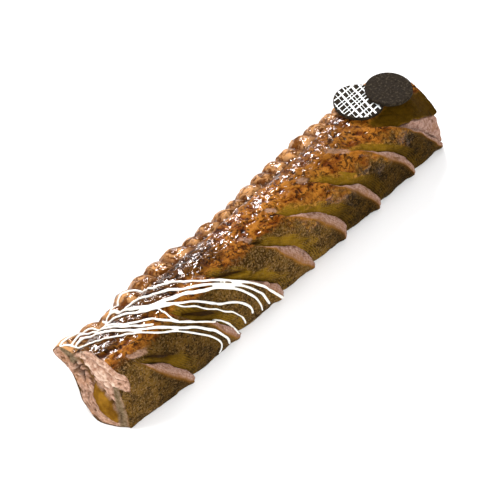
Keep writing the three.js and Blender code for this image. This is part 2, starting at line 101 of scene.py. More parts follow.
# ------------------------------------------------------------------ dough
FAR_X = 148.0
LIP_RISE, SLIT_DEPTH, SLIT_WIDTH = 1.5, 3.3, 13.0
BUMP = (131.0, 3.0, 6.5, 4.5)      # swelling under the plain plaque: x, y, radius, height
STATIONS = np.array([-150.0, -112.0, 40.0, 95.0, 126.0, 148.0])
SECTIONS = np.array([
    [[3.9, 46.1], [-6, 46], [-15.7, 44], [-21.5, 42], [-23.5, 35], [-24, 20], [-24, 6], [-22.2, 0], [-15, 0], [-5, 0], [5, 0], [10, 3], [12.5, 12], [16.6, 23.1], [21.5, 27.5], [25.6, 30.6], [24, 35.5], [20.5, 39], [15, 41], [9.5, 44]],
    [[4, 46], [-5, 45.3], [-13.5, 42], [-20, 35], [-24, 25], [-26.7, 13], [-27.3, 4], [-25, 0], [-16, 0], [-5, 0], [5, 0], [10, 3], [12.5, 12], [16.5, 22], [23, 27], [28, 31], [25.3, 35.5], [19.5, 38.3], [14.5, 39.5], [10, 43.5]],
    [[4.5, 45.6], [-4.5, 45], [-13.5, 41.8], [-20, 35], [-24, 25], [-26.5, 13], [-27, 4], [-24.7, 0], [-16, 0], [-5, 0], [5, 0], [10, 3], [12.5, 12], [16.5, 22], [23, 27], [28, 31], [25.3, 35.5], [19.8, 38.3], [15, 39.5], [10.5, 43.3]],
    [[8, 42.8], [-1, 42.6], [-10.5, 40.3], [-18.3, 34.5], [-23, 25], [-26, 13], [-27, 4], [-24.5, 0], [-16, 0], [-5, 0], [5, 0], [10, 3], [12.5, 12], [16.5, 22], [23.5, 27], [28.5, 31], [26.3, 35], [21, 38], [17.5, 39.6], [14, 42]],
    [[8, 43.1], [0, 43.0], [-9, 41], [-16.8, 35], [-22.3, 25.5], [-25.8, 13], [-27.3, 4], [-25, 0], [-16, 0], [-5, 0], [5, 0], [10, 3], [12.5, 12], [16, 21.5], [23, 26.5], [28.5, 30.5], [26, 35.5], [20.5, 39], [17, 40.7], [13.5, 42.4]],
    [[4, 37.5], [-4, 36], [-11, 32], [-16.5, 27], [-21, 20], [-24, 12], [-26, 4], [-24, 0], [-15, 0], [-5, 0], [5, 0], [9, 3], [11.5, 10], [14, 17], [19, 21.5], [23.5, 25.5], [20.5, 30.5], [15.5, 33.5], [12, 35], [8.5, 37]],
], float)
# x of each slit's sharp edge at tau 0..7, and how wide (along x) its pale cut face is there
SLITS = np.array([
    [-143.5, -141.5, -138.5, -133.5, -116.5, -106, -100.5, -99],
    [-107, -103, -97.5, -88.5, -75, -64, -58, -56.5],
    [-77, -70, -61.5, -49.5, -35, -21.5, -18, -17],
    [-36.5, -33, -27.5, -14.5, 0, 9, 12.8, 14],
    [-8, -3.5, 4, 21, 33.5, 43.7, 45.5, 46],
    [18, 27.5, 38.5, 50.5, 66.5, 75.5, 78.5, 79],
    [52, 61.5, 73, 87, 101.5, 112, 114.5, 115],
    [79, 88, 99.5, 113, 126, 138, 145, 145.8],
], float)
PALE = np.array([
    [0, 0, 0, 2.5, 8.5, 7, 3.3, 2],
    [0, 0, 0, 1, 3, 6, 4.5, 2],
    [0, 0, 0, 0.8, 2.5, 6, 4, 2],
    [0, 0, 0, 3, 9, 8.5, 3.5, 2],
    [0, 0, 1, 6.5, 8, 8.5, 5, 2.5],
    [0, 0, 0, 2.5, 8.5, 7, 4, 2],
    [0, 0, 0, 3, 7.5, 5.5, 3, 2],
    [0, 0, 0, 1.5, 3, 4, 2.5, 1],
], float)
# pinched rim along the back: valleys between the crimps, and how far out each crimp reaches
VALLEY_X = np.array([-158, -135.6, -121.8, -107.7, -92.9, -78.4, -65.1, -47.6, -37.4, -21.5, -8.2, 1, 17.5, 29.1, 42.3, 56.3, 70.6, 85.8, 98.1, 110.6, 124, 137, 152])
CRIMP_Y = np.array([30.4, 27.5, 25.1, 30.2, 30.5, 30.8, 30.4, 26.6, 27.3, 26.9, 26.9, 28.4, 28.6, 29.1, 29, 30.4, 29.3, 28.5, 28.9, 29, 28, 25])
# lines of the hollows, where the dough is painted darker as shade: x0, tau0, x1, tau1, half width, extra depth
HOLLOWS = [(-128.5, 2.64, -112.5, 3.74, 2.4, 2.8), (-92, 2.2, -71, 3.82, 2.5, 2.8), (-62, 1.74, -42.5, 2.78, 2.2, 2.6), (-28, 1.7, -22.5, 2.06, 1.5, 2.0)]
# matte pink skin at the head of the slits: x0, tau0, x1, tau1, half width
PATCHES = [(58, 0.7, 67.5, 1.54, 3.0), (26.5, 0.85, 30.5, 1.1, 2.6), (-3.5, 0.9, -0.5, 1.2, 2.4), (-31, 1.16, -27.5, 1.54, 2.6),
           (-70.5, 0.95, -68, 1.26, 2.2), (-137, 1.95, -127, 2.25, 3.0)]
TONGUE_X, TONGUE_T = [105, 109.5, 115, 122, 130, 137, 149], [2.9, 2.78, 2.76, 3.05, 3.35, 3.5, 3.55]


def spline(a, b, c, d, t):
    return 0.5 * (2 * b + (c - a) * t + (2 * a - 5 * b + 4 * c - d) * t * t + (3 * b - a - 3 * c + d) * t ** 3)


def section(x, tau):
    """plain section (y, z) at x and section parameter tau, arrays of one shape"""
    x, tau = np.broadcast_arrays(np.asarray(x, float), np.asarray(tau, float))
    s = np.clip(np.searchsorted(STATIONS, x, side="right") - 1, 0, len(STATIONS) - 2)
    w = smooth((x - STATIONS[s]) / (STATIONS[s + 1] - STATIONS[s]))[..., None]
    i = np.floor(tau).astype(int)
    t = (tau - i)[..., None]
    p = [mix(SECTIONS[s, (i + j) % 20], SECTIONS[s + 1, (i + j) % 20], w) for j in (-1, 0, 1, 2)]
    yz = spline(p[0], p[1], p[2], p[3], t)
    tm = tau % 20
    z = np.where((tm >= 7) & (tm <= 10), 0.0, np.maximum(0.0, yz[..., 1]))
    return yz[..., 0], z


def outward(x, tau):
    a, b = section(x, tau - 0.15), section(x, tau + 0.15)
    ty, tz = b[0] - a[0], b[1] - a[1]
    l = np.hypot(ty, tz) + 1e-9
    return tz / l, -ty / l


def near_x(y, z):
    return -149.6 - 2.4 * smooth((y - 4) / 12) - 6.2 * np.exp(-((y + 5.0) / 12.0) ** 2) * (1 - smooth(z / 30.0)) + 1.8 * smooth((-y - 16) / 6)


def along(table, k, tau):
    s = table[k - 1]
    tt = np.clip(tau, 0, 7)
    i = np.minimum(6, np.floor(tt).astype(int))
    t = tt - i
    at = lambda j: s[np.clip(j, 0, 7)]
    return spline(at(i - 1), at(i), at(i + 1), at(i + 2), t)


def slit_x(k, tau):
    tau = np.asarray(tau, float)
    if k == 0:
        y, z = section(np.full_like(tau, -150.0), tau)
        return near_x(y, z)
    if k == 9:
        return np.full_like(tau, FAR_X)
    s = SLITS[k - 1]
    return np.where(tau <= 7, along(SLITS, k, tau), s[7] + (s[0] - s[7]) * smooth((tau - 7) / 6.5))


#            1    2    3    4    5    6    7    8
DEEP = [1.2, 1.2, 1.15, 1.05, 0.95, 0.95, 0.95, 0.8]
TOPS = [2.0, 0.9, 0.75, 1.2, 0.7, 0.75, 0.9, 0.9]      # where each slit starts


def openness(k, tau):
    s = TOPS[k - 1]
    return np.where(tau > 9, 0.0, smooth((tau - s) / 1.5) * (1 - smooth((tau - 7.3) / 1.4)))


def depth(tau):
    return SLIT_DEPTH * (0.5 + 0.5 * smooth((tau - 1.5) / 2.2)) * (1 - 0.25 * smooth((tau - 4.4) / 2.0))


def rise(tau):
    return LIP_RISE * (0.55 + 0.45 * smooth((tau - 1.5) / 2.2) + 0.45 * smooth((tau - 4) / 2))


def line_gap(x, tau, x0, t0, x1, t1):
    """distance (mm) from a line on the skin, and the place along it, 0..1"""
    ax_, ay_ = x - x0, (tau - t0) * 9.6
    bx_, by_ = x1 - x0, (t1 - t0) * 9.6
    f = np.clip((ax_ * bx_ + ay_ * by_) / (bx_ ** 2 + by_ ** 2), 0, 1)
    return np.hypot(ax_ - f * bx_, ay_ - f * by_), f


# rows round the section, fine where it is seen, coarser underneath
dense_tau = np.linspace(0, 20, 4001)
yy, zz = section(np.zeros_like(dense_tau), dense_tau)
arc = np.concatenate([[0], np.cumsum(np.hypot(np.diff(yy), np.diff(zz)))])
weight = np.where((dense_tau > 7.6) & (dense_tau < 12.6), 0.28, 1.0)
cost = np.concatenate([[0], np.cumsum(np.diff(arc) * weight[1:])])
N_ROWS = 196
TAU = np.interp(np.linspace(0, cost[-1], N_ROWS, endpoint=False), cost, dense_tau)

cols = []


def lip_next(k, tau, near):
    W = np.where(tau < 9, np.maximum(0, along(PALE, k + 1, tau)), 0) * np.minimum(1, near * 1.1) * openness(k + 1, tau)
    return W + 1.4 * near


def add_cols(k, kind, values):
    for v in values:
        cols.append((k, kind, float(v)))


for k in range(9):
    if k == 0:
        add_cols(k, "head", np.linspace(0, 1, 24, endpoint=False))
    else:
        add_cols(k, "start", np.linspace(0, 1, 17))
        if k < 8:
            wide = 16 if k in (1, 2) else 13
            add_cols(k, "mid", (np.arange(wide) + 1) / (wide + 1.0))
    if k < 8:
        add_cols(k, "near", np.linspace(0, 1, 11))
        add_cols(k, "band", (np.arange(9) + 1) / 9.0)
        add_cols(k, "under", (0.33, 0.66, 1.0))
    else:
        add_cols(k, "tail", (np.arange(26) + 1) / 26.0)
NC = len(cols)

X = np.zeros((NC, N_ROWS)); H = np.zeros((NC, N_ROWS))
M_CUT = np.zeros((NC, N_ROWS)); M_RAMP = np.zeros((NC, N_ROWS)); LAM = np.zeros((NC, N_ROWS)); M_CREVICE_SHADE = np.zeros((NC, N_ROWS))
M_LIP = np.zeros((NC, N_ROWS))
D_, A_ = depth(TAU), rise(TAU)
front = TAU < 9
for c, (k, kind, v) in enumerate(cols):
    a, b = slit_x(k, TAU), slit_x(k + 1, TAU)
    L = b - a
    near = np.minimum(1.0, L / 32.0)
    if kind in ("near", "band", "under"):
        q = k + 1
    else:
        q = max(k, 1)
    o = openness(q, TAU) if not (kind in ("head",)) else TAU * 0
    W = np.where(front, np.maximum(0, along(PALE, q, TAU)), 0) * np.minimum(1, near * 1.1)
    jit = vnoise(np.stack([TAU * 1.1 + 31.7 * q, TAU * 0 + q, TAU * 0], -1), 9)
    jit2 = vnoise(np.stack([TAU * 2.6 + 11.3 * q, TAU * 0 + q, TAU * 0], -1), 19)
    W = W * (1 + 0.12 * jit)
    D = D_ * DEEP[q - 1] * (1 + 0.15 * jit)
    A = A_ * (1 + 0.18 * jit)
    lip = W * o + 1.2 * near * (1 - np.minimum(1, W * o / 1.2))
    w_start, w_near = SLIT_WIDTH * near, 7.0 * near
    a = a + np.where(front, 0.55 * jit2, 0) * openness(max(k, 1), TAU) * (k > 0)
    if k < 8:
        b = b + np.where(front, 0.55 * vnoise(np.stack([TAU * 2.6 + 11.3 * (k + 1), TAU * 0 + k + 1, TAU * 0], -1), 19), 0) * openness(k + 1, TAU)
    G = 0.46 * W + 0.3
    if kind == "head":
        e = w_near + np.where(front, np.maximum(0, along(PALE, 1, TAU)), 0) * np.minimum(1, near * 1.1) * openness(1, TAU) + 1.4 * near
        X[c] = a + (L - e) * v
    elif kind == "start":
        X[c] = a + mix(mix(0.35 * near, w_start, v ** 1.12), mix(-1.1 * near, w_start, v ** 1.12), o)
        H[c] = -D * (1 - v) ** 1.7 * o
        M_RAMP[c] = o * (1 - smooth((v - 0.42 + 0.30 * vnoise(np.stack([TAU * 3.1 + 5 * q, TAU * 0 + v * 3, TAU * 0], -1), 29)) / 0.80)) * (1 - 0.6 * smooth((TAU - 3.2) / 2.4))
        LAM[c] = mix(0, w_start, v ** 1.12) + 20 * q
        # painted shade: darker line just under the lip, at the head of the recess
        M_CREVICE_SHADE[c] = 0.45 * o * (1 - smooth(v / 0.07))
    elif kind == "mid":
        e = w_near + lip_next(k, TAU, near) if k < 8 else w_near
        X[c] = a + w_start + (L - w_start - e) * v
        H[c] = 0.2 * A_ * smooth(v) * openness(k + 1, TAU)
    elif kind == "near":
        X[c] = b - lip - w_near * (1 - v)
        H[c] = A * mix(0.2, 1.0, smooth(v)) * o
        M_LIP[c] = o * v ** 7 * np.minimum(1, W / 2.5)
    elif kind == "band":
        X[c] = b - mix(lip, 0.45 * near * (1 - o), v)
        H[c] = (A - G * v ** 1.25) * o
        M_CUT[c] = o * smooth((v + 0.12) / 0.42) * smooth(W / 2.2)
        M_LIP[c] = o * (1 - v) ** 2 * smooth(W / 2.0)
        LAM[c] = 300 + 20 * q + v * W * 0.9
    elif kind == "under":
        X[c] = b + mix(mix(-0.40, -0.10, v) * near, mix(0.15, -1.05, smooth(v)) * near, o)
        H[c] = mix(A - G - 0.35, -D, smooth(v * 0.85 + 0.15)) * o
        M_CUT[c] = 0.55 * o * (1 - v) * smooth(W / 2.2)
        # painted shade in the undercut below the lip
        M_CREVICE_SHADE[c] = 0.55 * o * smooth(v / 0.7)
    elif kind == "tail":
        X[c] = a + w_start + (L - w_start) * v
X = np.maximum.accumulate(np.where(front[None], -1e9, X), 0) * (~front)[None] + X * front[None]

TT = np.broadcast_to(TAU, X.shape)
K_ = np.array([c[0] for c in cols])[:, None]
IS_START = np.array([c[1] in ("start", "mid", "tail") for c in cols])[:, None]
hollow_shade = np.zeros_like(X)
for (x0, t0, x1, t1, hw, dp) in HOLLOWS:
    g, f = line_gap(X, TT, x0, t0, x1, t1)
    w = hw * (0.45 + 0.55 * np.sin(np.pi * np.clip(f, 0.02, 0.98)))
    m = (1 - smooth(g / (w + 1.2))) * IS_START
    H -= dp * m
    hollow_shade = np.maximum(hollow_shade, m)
# the last strip's tongue stands over torn crumb at the far end
tongue_t = np.interp(X, TONGUE_X, TONGUE_T) + 0.10 * vnoise(np.stack([X / 4.0, X * 0, X * 0], -1), 77)
below = smooth((TT - tongue_t) / 0.10) * (1 - smooth((TT - 7.2) / 0.8)) * ((K_ == 8) & IS_START) * (X > 107)
step = smooth((X - 107) / 6.0)
H = H + (-2.1 * below + 0.7 * smooth((TT - tongue_t + 0.55) / 0.5) * (1 - below) * (K_ == 8) * (TT < 7)) * step
# far tongue below the plaques: olive, and darkened further as painted plaque shadow
far_olive_and_plaque_shadow = smooth((X - 92 - 6.0 * (TT - 1.5)) / 9.0) * smooth((TT - 1.0) / 0.5) * (1 - smooth((TT - tongue_t + 0.1) / 0.15)) * ((K_ == 8) & IS_START)
M_RAMP = np.maximum(M_RAMP, 0.9 * far_olive_and_plaque_shadow)
M_RAMP = M_RAMP * (1 - below * step)
M_CUT = np.maximum(M_CUT, below * step)
# painted shade along the step under the tongue's edge
M_CREVICE_SHADE = np.maximum(M_CREVICE_SHADE * (1 - 0.7 * below * step), 0.85 * np.exp(-((TT - tongue_t - 0.07) / 0.07) ** 2) * step * (K_ == 8) * IS_START)

Y, Z = section(X, TT)
NY, NZ = outward(X, TT)
flat = smooth((TT - 4.4) / 1.6) * (TT < 12)
DY, DZ = NY * (1 - flat) - flat, NZ * (1 - flat)
Y = Y + DY * H
Z = Z + DZ * H


def crimp_at(x):
    i = np.clip(np.searchsorted(VALLEY_X, x) - 1, 0, len(CRIMP_Y) - 1)
    f = np.clip((x - VALLEY_X[i]) / (VALLEY_X[i + 1] - VALLEY_X[i]), 0, 1)
    mids = (VALLEY_X[1:] + VALLEY_X[:-1]) / 2
    return np.sin(np.pi * f) ** 0.6, np.interp(x, mids, CRIMP_Y), f


lobe, reach, lobe_f = crimp_at(X)
tip, _ = section(X, np.full_like(X, 15.0))
cr = smooth((TT - 12.6) / 2.2) * (1 - smooth((TT - 15.9) / 2.0))
Y = Y + (reach - 1.1 - tip - 2.6 * (1 - lobe)) * cr
press = smooth((TT - 14.9) / 0.8) * (1 - smooth((TT - 17.2) / 1.0))
Z = Z + (-2.0 * (1 - lobe) + 0.9 * (lobe - 0.5) + 0.9 * (lobe_f - 0.5)) * press
groove = np.exp(-((TT - 18.15) / 0.42) ** 2)
Z = Z - 1.3 * groove
Z = Z + BUMP[3] * np.exp(-((X - BUMP[0]) ** 2 + (Y - BUMP[1]) ** 2) / BUMP[2] ** 2) * ((TT < 3) | (TT > 17))
P = np.stack([X, Y, np.maximum(0, Z)], -1)
XX = X


def grid_normals(P):
    du = np.gradient(P, axis=0)
    dv = np.roll(P, -1, 1) - np.roll(P, 1, 1)
    n = np.cross(dv, du)
    n = n / (np.linalg.norm(n, axis=-1, keepdims=True) + 1e-9)
    return n


N = grid_normals(P)
# masks for where things are
m_top = np.where(TT > 12, smooth((TT - 17.6) / 1.0), 1 - smooth((TT - 1.15 + 0.35 * vnoise(P / 9.0, 91)) / 1.5))     # glazed ridge
m_crimp = smooth((TT - 13.6) / 1.0) * (1 - smooth((TT - 17.8) / 0.8))
m_under = smooth((TT - 6.9) / 0.5) * (1 - smooth((TT - 13.2) / 0.8))
m_flank = smooth((TT - 1.2) / 1.6) * (1 - smooth((TT - 6.9) / 0.6)) * (TT < 12)
far_gold = smooth((X + 30) / 70) * (1 - smooth((TT - 1.7 + 0.7 * vnoise(P / 6.0, 92) + 0.4 * vnoise(P / 2.0, 93)) / 2.9)) * (TT < 12)
# some stretches are darker than the rest; below the plaques, on the far tongue and the far end's front side, the
# darkening is painted shadow of the plaques
bake_edge = 0.35 * vnoise(P / 7.0, 95)
shade = smooth((-X - 38) / 12) * (1 - smooth((TT - 0.7 + bake_edge) / 0.6)) * (TT < 12) + (TT > 18.6) * smooth((-X - 38) / 12)
shade = np.maximum(shade, 0.52 * smooth((-X - 60) / 25) * smooth((X + 135) / 12) * m_flank)
shade = np.maximum(shade, 0.85 * smooth((X - 22) / 18) * smooth((TT - 2.9 + bake_edge) / 1.4) * m_flank)
# painted shadow of the plaques on the far tongue
shade = np.maximum(shade, 0.95 * far_olive_and_plaque_shadow)
shade = np.maximum(shade, 0.35 * smooth((X - 15) / 20) * ((TT < 1.2) | (TT > 18.6)))
shade = np.clip(shade, 0, 1) * (1 - M_CUT)
glaze = np.clip(np.maximum(m_top, np.maximum(0.75 * m_crimp, 0.8 * far_gold)) - M_RAMP - M_CUT, 0, 1)
# torn matte patch at the head of the slits
patch = np.zeros_like(X)
for (x0, t0, x1, t1, hw) in PATCHES:
    g, f = line_gap(X, TT, x0, t0, x1, t1)
    patch = np.maximum(patch, np.exp(-(g / hw) ** 2 * 1.4))
patch_n = 0.6 * smooth((patch - 0.42 + 0.55 * fbm(P / 2.6, 41, 3)) / 0.4) * (TT < 9)
glaze = glaze * (1 - patch_n)

q3 = P.copy()
skin = np.clip(1 - M_RAMP - M_CUT, 0, 1)
lump = 0.8 * fbm(q3 / np.array([26.0, 16, 16]), 1, 2)
blister = fbm(q3 / 7.0, 2, 3)
warp = np.stack([vnoise(q3 / 5.0, 81), vnoise(q3 / 5.0, 82), vnoise(q3 / 5.0, 83)], -1) * 1.9
rid = 1 - np.abs(fbm((q3 + warp) / np.array([6.5, 3.0, 3.0]), 7, 3)) * 2.6
wrinkle = np.clip(rid, -1, 1)
rid2 = np.clip(1 - np.abs(fbm((q3 + warp) / np.array([2.9, 1.7, 1.7]), 8, 2)) * 2.6, -1, 1)
crumb = fbm(q3 / 1.6, 12, 3)
pock = fbm(q3 / 2.4, 21, 3)
disp = lump * (1 - 0.6 * m_under) + 0.45 * blister * (1 - 0.7 * m_under) * (0.4 + 0.6 * skin)
disp += glaze * (0.50 * wrinkle + 0.26 * rid2 + 0.12 * crumb)
disp += m_flank * skin * (1 - glaze) * (0.26 * pock + 0.22 * crumb)
disp += M_CUT * (0.20 * crumb + 0.16 * np.sin(LAM * 2 * np.pi / 2.1 + 1.2 * blister))
disp += patch_n * 0.25 * crumb
lam_line = np.sin(LAM * 2 * np.pi / 1.5 + 1.8 * fbm(q3 / 9.0, 33, 2))
disp += M_RAMP * (0.075 * lam_line * (0.5 + 0.8 * vnoise(q3 / 8.0, 36)) + 0.16 * fbm(q3 / np.array([6.0, 3, 3]), 35, 2))
hold = np.where((TT >= 6.95) & (TT <= 10.05), 0.0, 1.0)
hold = hold * (0.25 + 0.75 * smooth(np.abs(P[..., 2]) / 3.0))
clear = np.maximum(np.exp(-(((X - 105.6) / 17.0) ** 4 + ((P[..., 1] - 11.0) / 17.0) ** 4)), np.exp(-(((X - 123.7) / 16.0) ** 4 + ((P[..., 1] - 1.5) / 16.0) ** 4))) * (P[..., 2] > 38)
disp = np.where(disp > 0, disp * (1 - clear), disp * (1 - 0.8 * clear))
P = P + N * (disp * hold)[..., None]
P[..., 2] = np.maximum(0, P[..., 2])
base_rows = (TAU >= 6.95) & (TAU <= 10.05)
P[:, base_rows, 2] = 0.0
M_CUTP = np.clip(np.maximum(M_CUT, patch_n), 0, 1)
# painted shade and light over the relief: hollows between the wrinkles darker, raised folds lighter; the groove and the
# pinched valleys darker still
tone_and_relief_shade = np.clip(0.5 + glaze * (0.30 * wrinkle + 0.20 * rid2 + 0.25 * blister) + (1 - glaze) * (0.35 * pock + 0.15 * crumb), 0, 1)
tone_and_relief_shade = np.clip(tone_and_relief_shade - 0.45 * groove * (TT > 16) - 0.35 * press * (1 - lobe), 0, 1)

# ------------------------------------------------------------------ assemble the dough mesh
verts = [P.reshape(-1, 3)]
ZERO = np.zeros(P.shape[0] * P.shape[1])
# m_lobe carries painted shade for the valleys between the crimps
# m_rim carries painted light for the crimp tops
att = {"cut": [M_CUTP.ravel()], "ramp": [M_RAMP.ravel()], "glaze": [glaze.ravel()], "lam": [LAM.ravel() / 100.0],
       "painted_crevice_shade": [M_CREVICE_SHADE.ravel()], "under": [m_under.ravel()], "lobe": [(m_crimp * (1 - lobe)).ravel()], "tone_and_relief_shade": [tone_and_relief_shade.ravel()],
       "orange": [ZERO], "painted_sheen_band": [ZERO], "lip": [M_LIP.ravel()], "hollow_shade": [hollow_shade.ravel()], "patch": [patch_n.ravel()], "gold": [(far_gold * (1 - M_CUT)).ravel()], "end": [ZERO], "shade": [shade.ravel()], "rim": [(m_crimp * lobe * smooth((TT - 14.2) / 1.2)).ravel()]}
faces = []
idx = np.arange(NC * N_ROWS).reshape(NC, N_ROWS)
a, b = idx[:-1], idx[1:]
an, bn = np.roll(a, -1, 1), np.roll(b, -1, 1)
faces.append(np.stack([a.ravel(), an.ravel(), bn.ravel(), b.ravel()], -1))
count = NC * N_ROWS


def cap(ring_ids, ring, centre_yz, scales, place, sign, values):
    """closes an end with rings drawn in towards the middle"""
    global count
    last = ring_ids
    tris = []
    for s in scales:
        yz = centre_yz + (ring[:, 1:] - centre_yz) * s
        q = np.linalg.norm((ring[:, 1:] - centre_yz), axis=1) * (1 - s)
        x = place(yz[:, 0], yz[:, 1], q, s, ring)
        pts = np.column_stack([x, yz])
        pts[:, 2] = np.maximum(pts[:, 2], 0)
        ids = np.arange(count, count + len(pts))
        count += len(pts)
        verts.append(pts)
        vals = values(yz[:, 0], yz[:, 1], q, s)
        for key in att:
            att[key].append(np.broadcast_to(vals.get(key, 0.0), (len(pts),)).astype(float))
        ln, nx = np.roll(last, -1), np.roll(ids, -1)
        if sign < 0:
            faces.append(np.stack([last, ids, nx, ln], -1))
        else:
            faces.append(np.stack([last, ln, nx, ids], -1))
        last = ids
    x = place(np.array([centre_yz[0]]), np.array([centre_yz[1]]), np.array([20.0]), 0.0, ring[:1])
    verts.append(np.array([[x[0], centre_yz[0], centre_yz[1]]]))
    vals = values(np.array([centre_yz[0]]), np.array([centre_yz[1]]), np.array([20.0]), 0.0)
    for key in att:
        att[key].append(np.broadcast_to(vals.get(key, 0.0), (1,)).astype(float))
    mid = count
    count += 1
    ln = np.roll(last, -1)
    if sign < 0:
        tris.append(np.stack([last, np.full_like(last, mid), ln], -1))
    else:
        tris.append(np.stack([last, ln, np.full_like(last, mid)], -1))
    return tris[0]


def polyline(y, z, pts):
    """distance to a polyline in the end's plane, and the place along it, 0..1"""
    pts = np.array(pts, float)
    seg = np.hypot(*np.diff(pts, axis=0).T)
    run = np.concatenate([[0], np.cumsum(seg)]) / seg.sum()
    best, place = np.full(np.shape(y), 1e9), np.zeros(np.shape(y))
    for i in range(len(seg)):
        a_, d_ = pts[i], pts[i + 1] - pts[i]
        f = np.clip(((y - a_[0]) * d_[0] + (z - a_[1]) * d_[1]) / seg[i] ** 2, 0, 1)
        g = np.hypot(y - a_[0] - f * d_[0], z - a_[1] - f * d_[1])
        place = np.where(g < best, run[i] + f * (run[i + 1] - run[i]), place)
        best = np.minimum(best, g)
    return best, place


KNOBS = [(7.8, 39.8, 1.7, 1.3), (4.8, 36.5, 1.9, 1.5), (2.0, 34.2, 2.1, 1.7), (-1.5, 32.8, 2.3, 1.9), (-5.5, 37.0, 2.2, 1.6),
         (-2.0, 29.8, 1.9, 1.4), (-6.5, 32.2, 2.2, 1.7), (-8.5, 28.6, 2.0, 1.3), (-11.5, 33.8, 2.2, 1.5), (-0.5, 38.6, 1.6, 1.0), (-14.8, 33.5, 2.0, 2.2)]
PITS = [(8.8, 11.5), (5.5, 9.2), (-3.2, 8.6), (1.5, 8.6), (10.4, 15.5), (-8.6, 26.0), (4.2, 14.0)]


def near_face(y, z, q):
    p = np.column_stack([q * 0, y, z])
    n1, n2, n3 = fbm(p / 5.0, 51, 3), fbm(p / 2.0, 52, 3), fbm(p / 11.0, 53, 2)
    yj, zj = y + 0.8 * n1, z + 0.8 * fbm(p / 5.0, 57, 3)
    out = np.zeros_like(y)
    g, f = polyline(yj, zj, [(-0.2, 23.6), (-2.8, 19.2), (-8.0, 14.8), (-12.8, 9.8), (-16.6, 4.6)])
    lw = 0.7 + 4.6 * np.sin(np.pi * np.clip(f, 0, 1)) ** 0.8
    lobe_m = 1 - smooth((g - lw + 0.8) / 0.9)
    lobe_edge = np.exp(-((g - lw - 0.3) / 0.6) ** 2)
    g, f = polyline(yj, zj, [(13.4, 34.8), (10.8, 27.5), (7.6, 19.6)])
    slot_m = 1 - smooth((g - 1.9 * np.sin(np.pi * f) ** 0.8 + 0.2) / 0.8)
    g, _ = polyline(y, z, [(12.8, 35.6), (9.0, 28.2), (5.4, 19.5), (1.5, 17.0)])
    fold = np.exp(-(g / 0.7) ** 2)
    g, _ = polyline(yj, zj, [(10.2, 37.2), (6.5, 29.5), (1.8, 24.6)])
    brown = np.exp(-(g / 1.6) ** 2)
    knob = np.zeros_like(y)
    for (cy, cz, r, h) in KNOBS:
        d2 = ((yj - cy) ** 2 + (zj - cz) ** 2) / r ** 2
        knob = np.maximum(knob, h * np.sqrt(np.maximum(0, 1 - d2 / 1.6)))
    g, f = polyline(yj, zj, [(12.5, 43.0), (7.2, 44.6), (1.8, 43.6), (-3.8, 42.6), (-9.5, 41.4), (-15.5, 39.8)])
    ridge = np.exp(-(g / 1.7) ** 2)
    g, _ = polyline(yj, zj, [(9.0, 43.0), (6.2, 41.6), (0.8, 40.3), (-4.2, 39.0)])
    crack = np.exp(-(g / 0.75) ** 2)
    # painted sheen: a greyish colour on the smooth corner band stands in for its sheen
    g, f = polyline(yj, zj, [(-14.2, 29.5), (-17.0, 18.5), (-19.0, 7.5), (-19.6, -1.0)])
    painted_sheen_band = 1 - smooth((g - 1.6) / 1.6)
    g, _ = polyline(y, z, [(24.0, 41.0), (18.0, 38.0), (15.0, 35.0)])
    flap = 1 - smooth((g - 2.6) / 2.2)
    pit = np.zeros_like(y)
    for (cy, cz) in PITS:
        pit = np.maximum(pit, np.exp(-((yj - cy) ** 2 + (zj - cz) ** 2) / 0.9))
    pit = np.maximum(pit, smooth((n2 - 0.42) / 0.2) * (1 - lobe_m) * (1 - painted_sheen_band) * (q > 2) * (knob < 0.3))
    rim = smooth(q / 1.0) * (1 - smooth((q - 3.4) / 0.9))
    sheets = np.sin(q * 2 * np.pi / 1.5 + 2.2 * n1)
    x = -1.5 * (1 - smooth(q / 1.3)) * -1.0
    x = x + (-0.25 * rim * (1 + sheets)) + 4.5 * slot_m - 0.7 * fold + 0.9 * brown * (1 - fold)
    x = x - knob * (1 - slot_m) - 0.9 * ridge + 1.5 * crack * (1 - np.minimum(1, knob))
    x = x - 1.5 * lobe_m * (1 - 0.35 * (1 - smooth((lw - g * 0 - 1) / 2))) + 0.8 * lobe_edge * (1 - lobe_m) - 0.35 * painted_sheen_band + 1.3 * pit
    rough_ = (1 - lobe_m) * (1 - 0.8 * painted_sheen_band) * smooth(q / 1.5)
    n4 = fbm(p / np.array([1.0, 3.4, 1.3]), 58, 3)
    x = x + rough_ * (0.55 * n1 + 0.50 * n2 + 0.45 * n4) + lobe_m * (0.35 * n1 + 0.22 * n2)
    # painted shade in the slot, the crack, the pits and along the lobe's edge
    painted_crevice_shade = np.clip(0.95 * slot_m + 0.75 * crack * (1 - np.minimum(1, knob)) + 0.75 * pit + 0.45 * lobe_edge * (1 - lobe_m), 0, 1)
    skin_ = 1 - smooth((q - 0.35) / 0.7)
    beyond = smooth((np.interp(z, [-1, 7.5, 18.5, 29.5], [-19.6, -19.0, -17.0, -14.2]) - 1.3 - y) / 1.4) * (1 - smooth((z - 29.5 - 0.8 * n1) / 1.5))
    cut_ = np.clip(smooth((q - 0.4) / 0.6) * (1 - lobe_m) * (1 - 0.55 * brown) * (1 - beyond), 0, 1)
    # the last value is painted light and shade over the face's relief: knobs, ridge and fold lighter, the brown strip
    # darker
    return x, painted_crevice_shade, lobe_m, np.clip(np.maximum(painted_sheen_band * (1 - beyond), flap) * smooth(q / 0.8), 0, 1), cut_, skin_, np.clip(0.44 + 0.25 * knob + 0.3 * ridge + 0.3 * fold - 0.38 * n2 - 0.34 * n4 - 0.3 * brown, 0, 1)


def near_place(y, z, q, s, ring):
    return near_x(y, z) + near_face(y, z, q)[0]


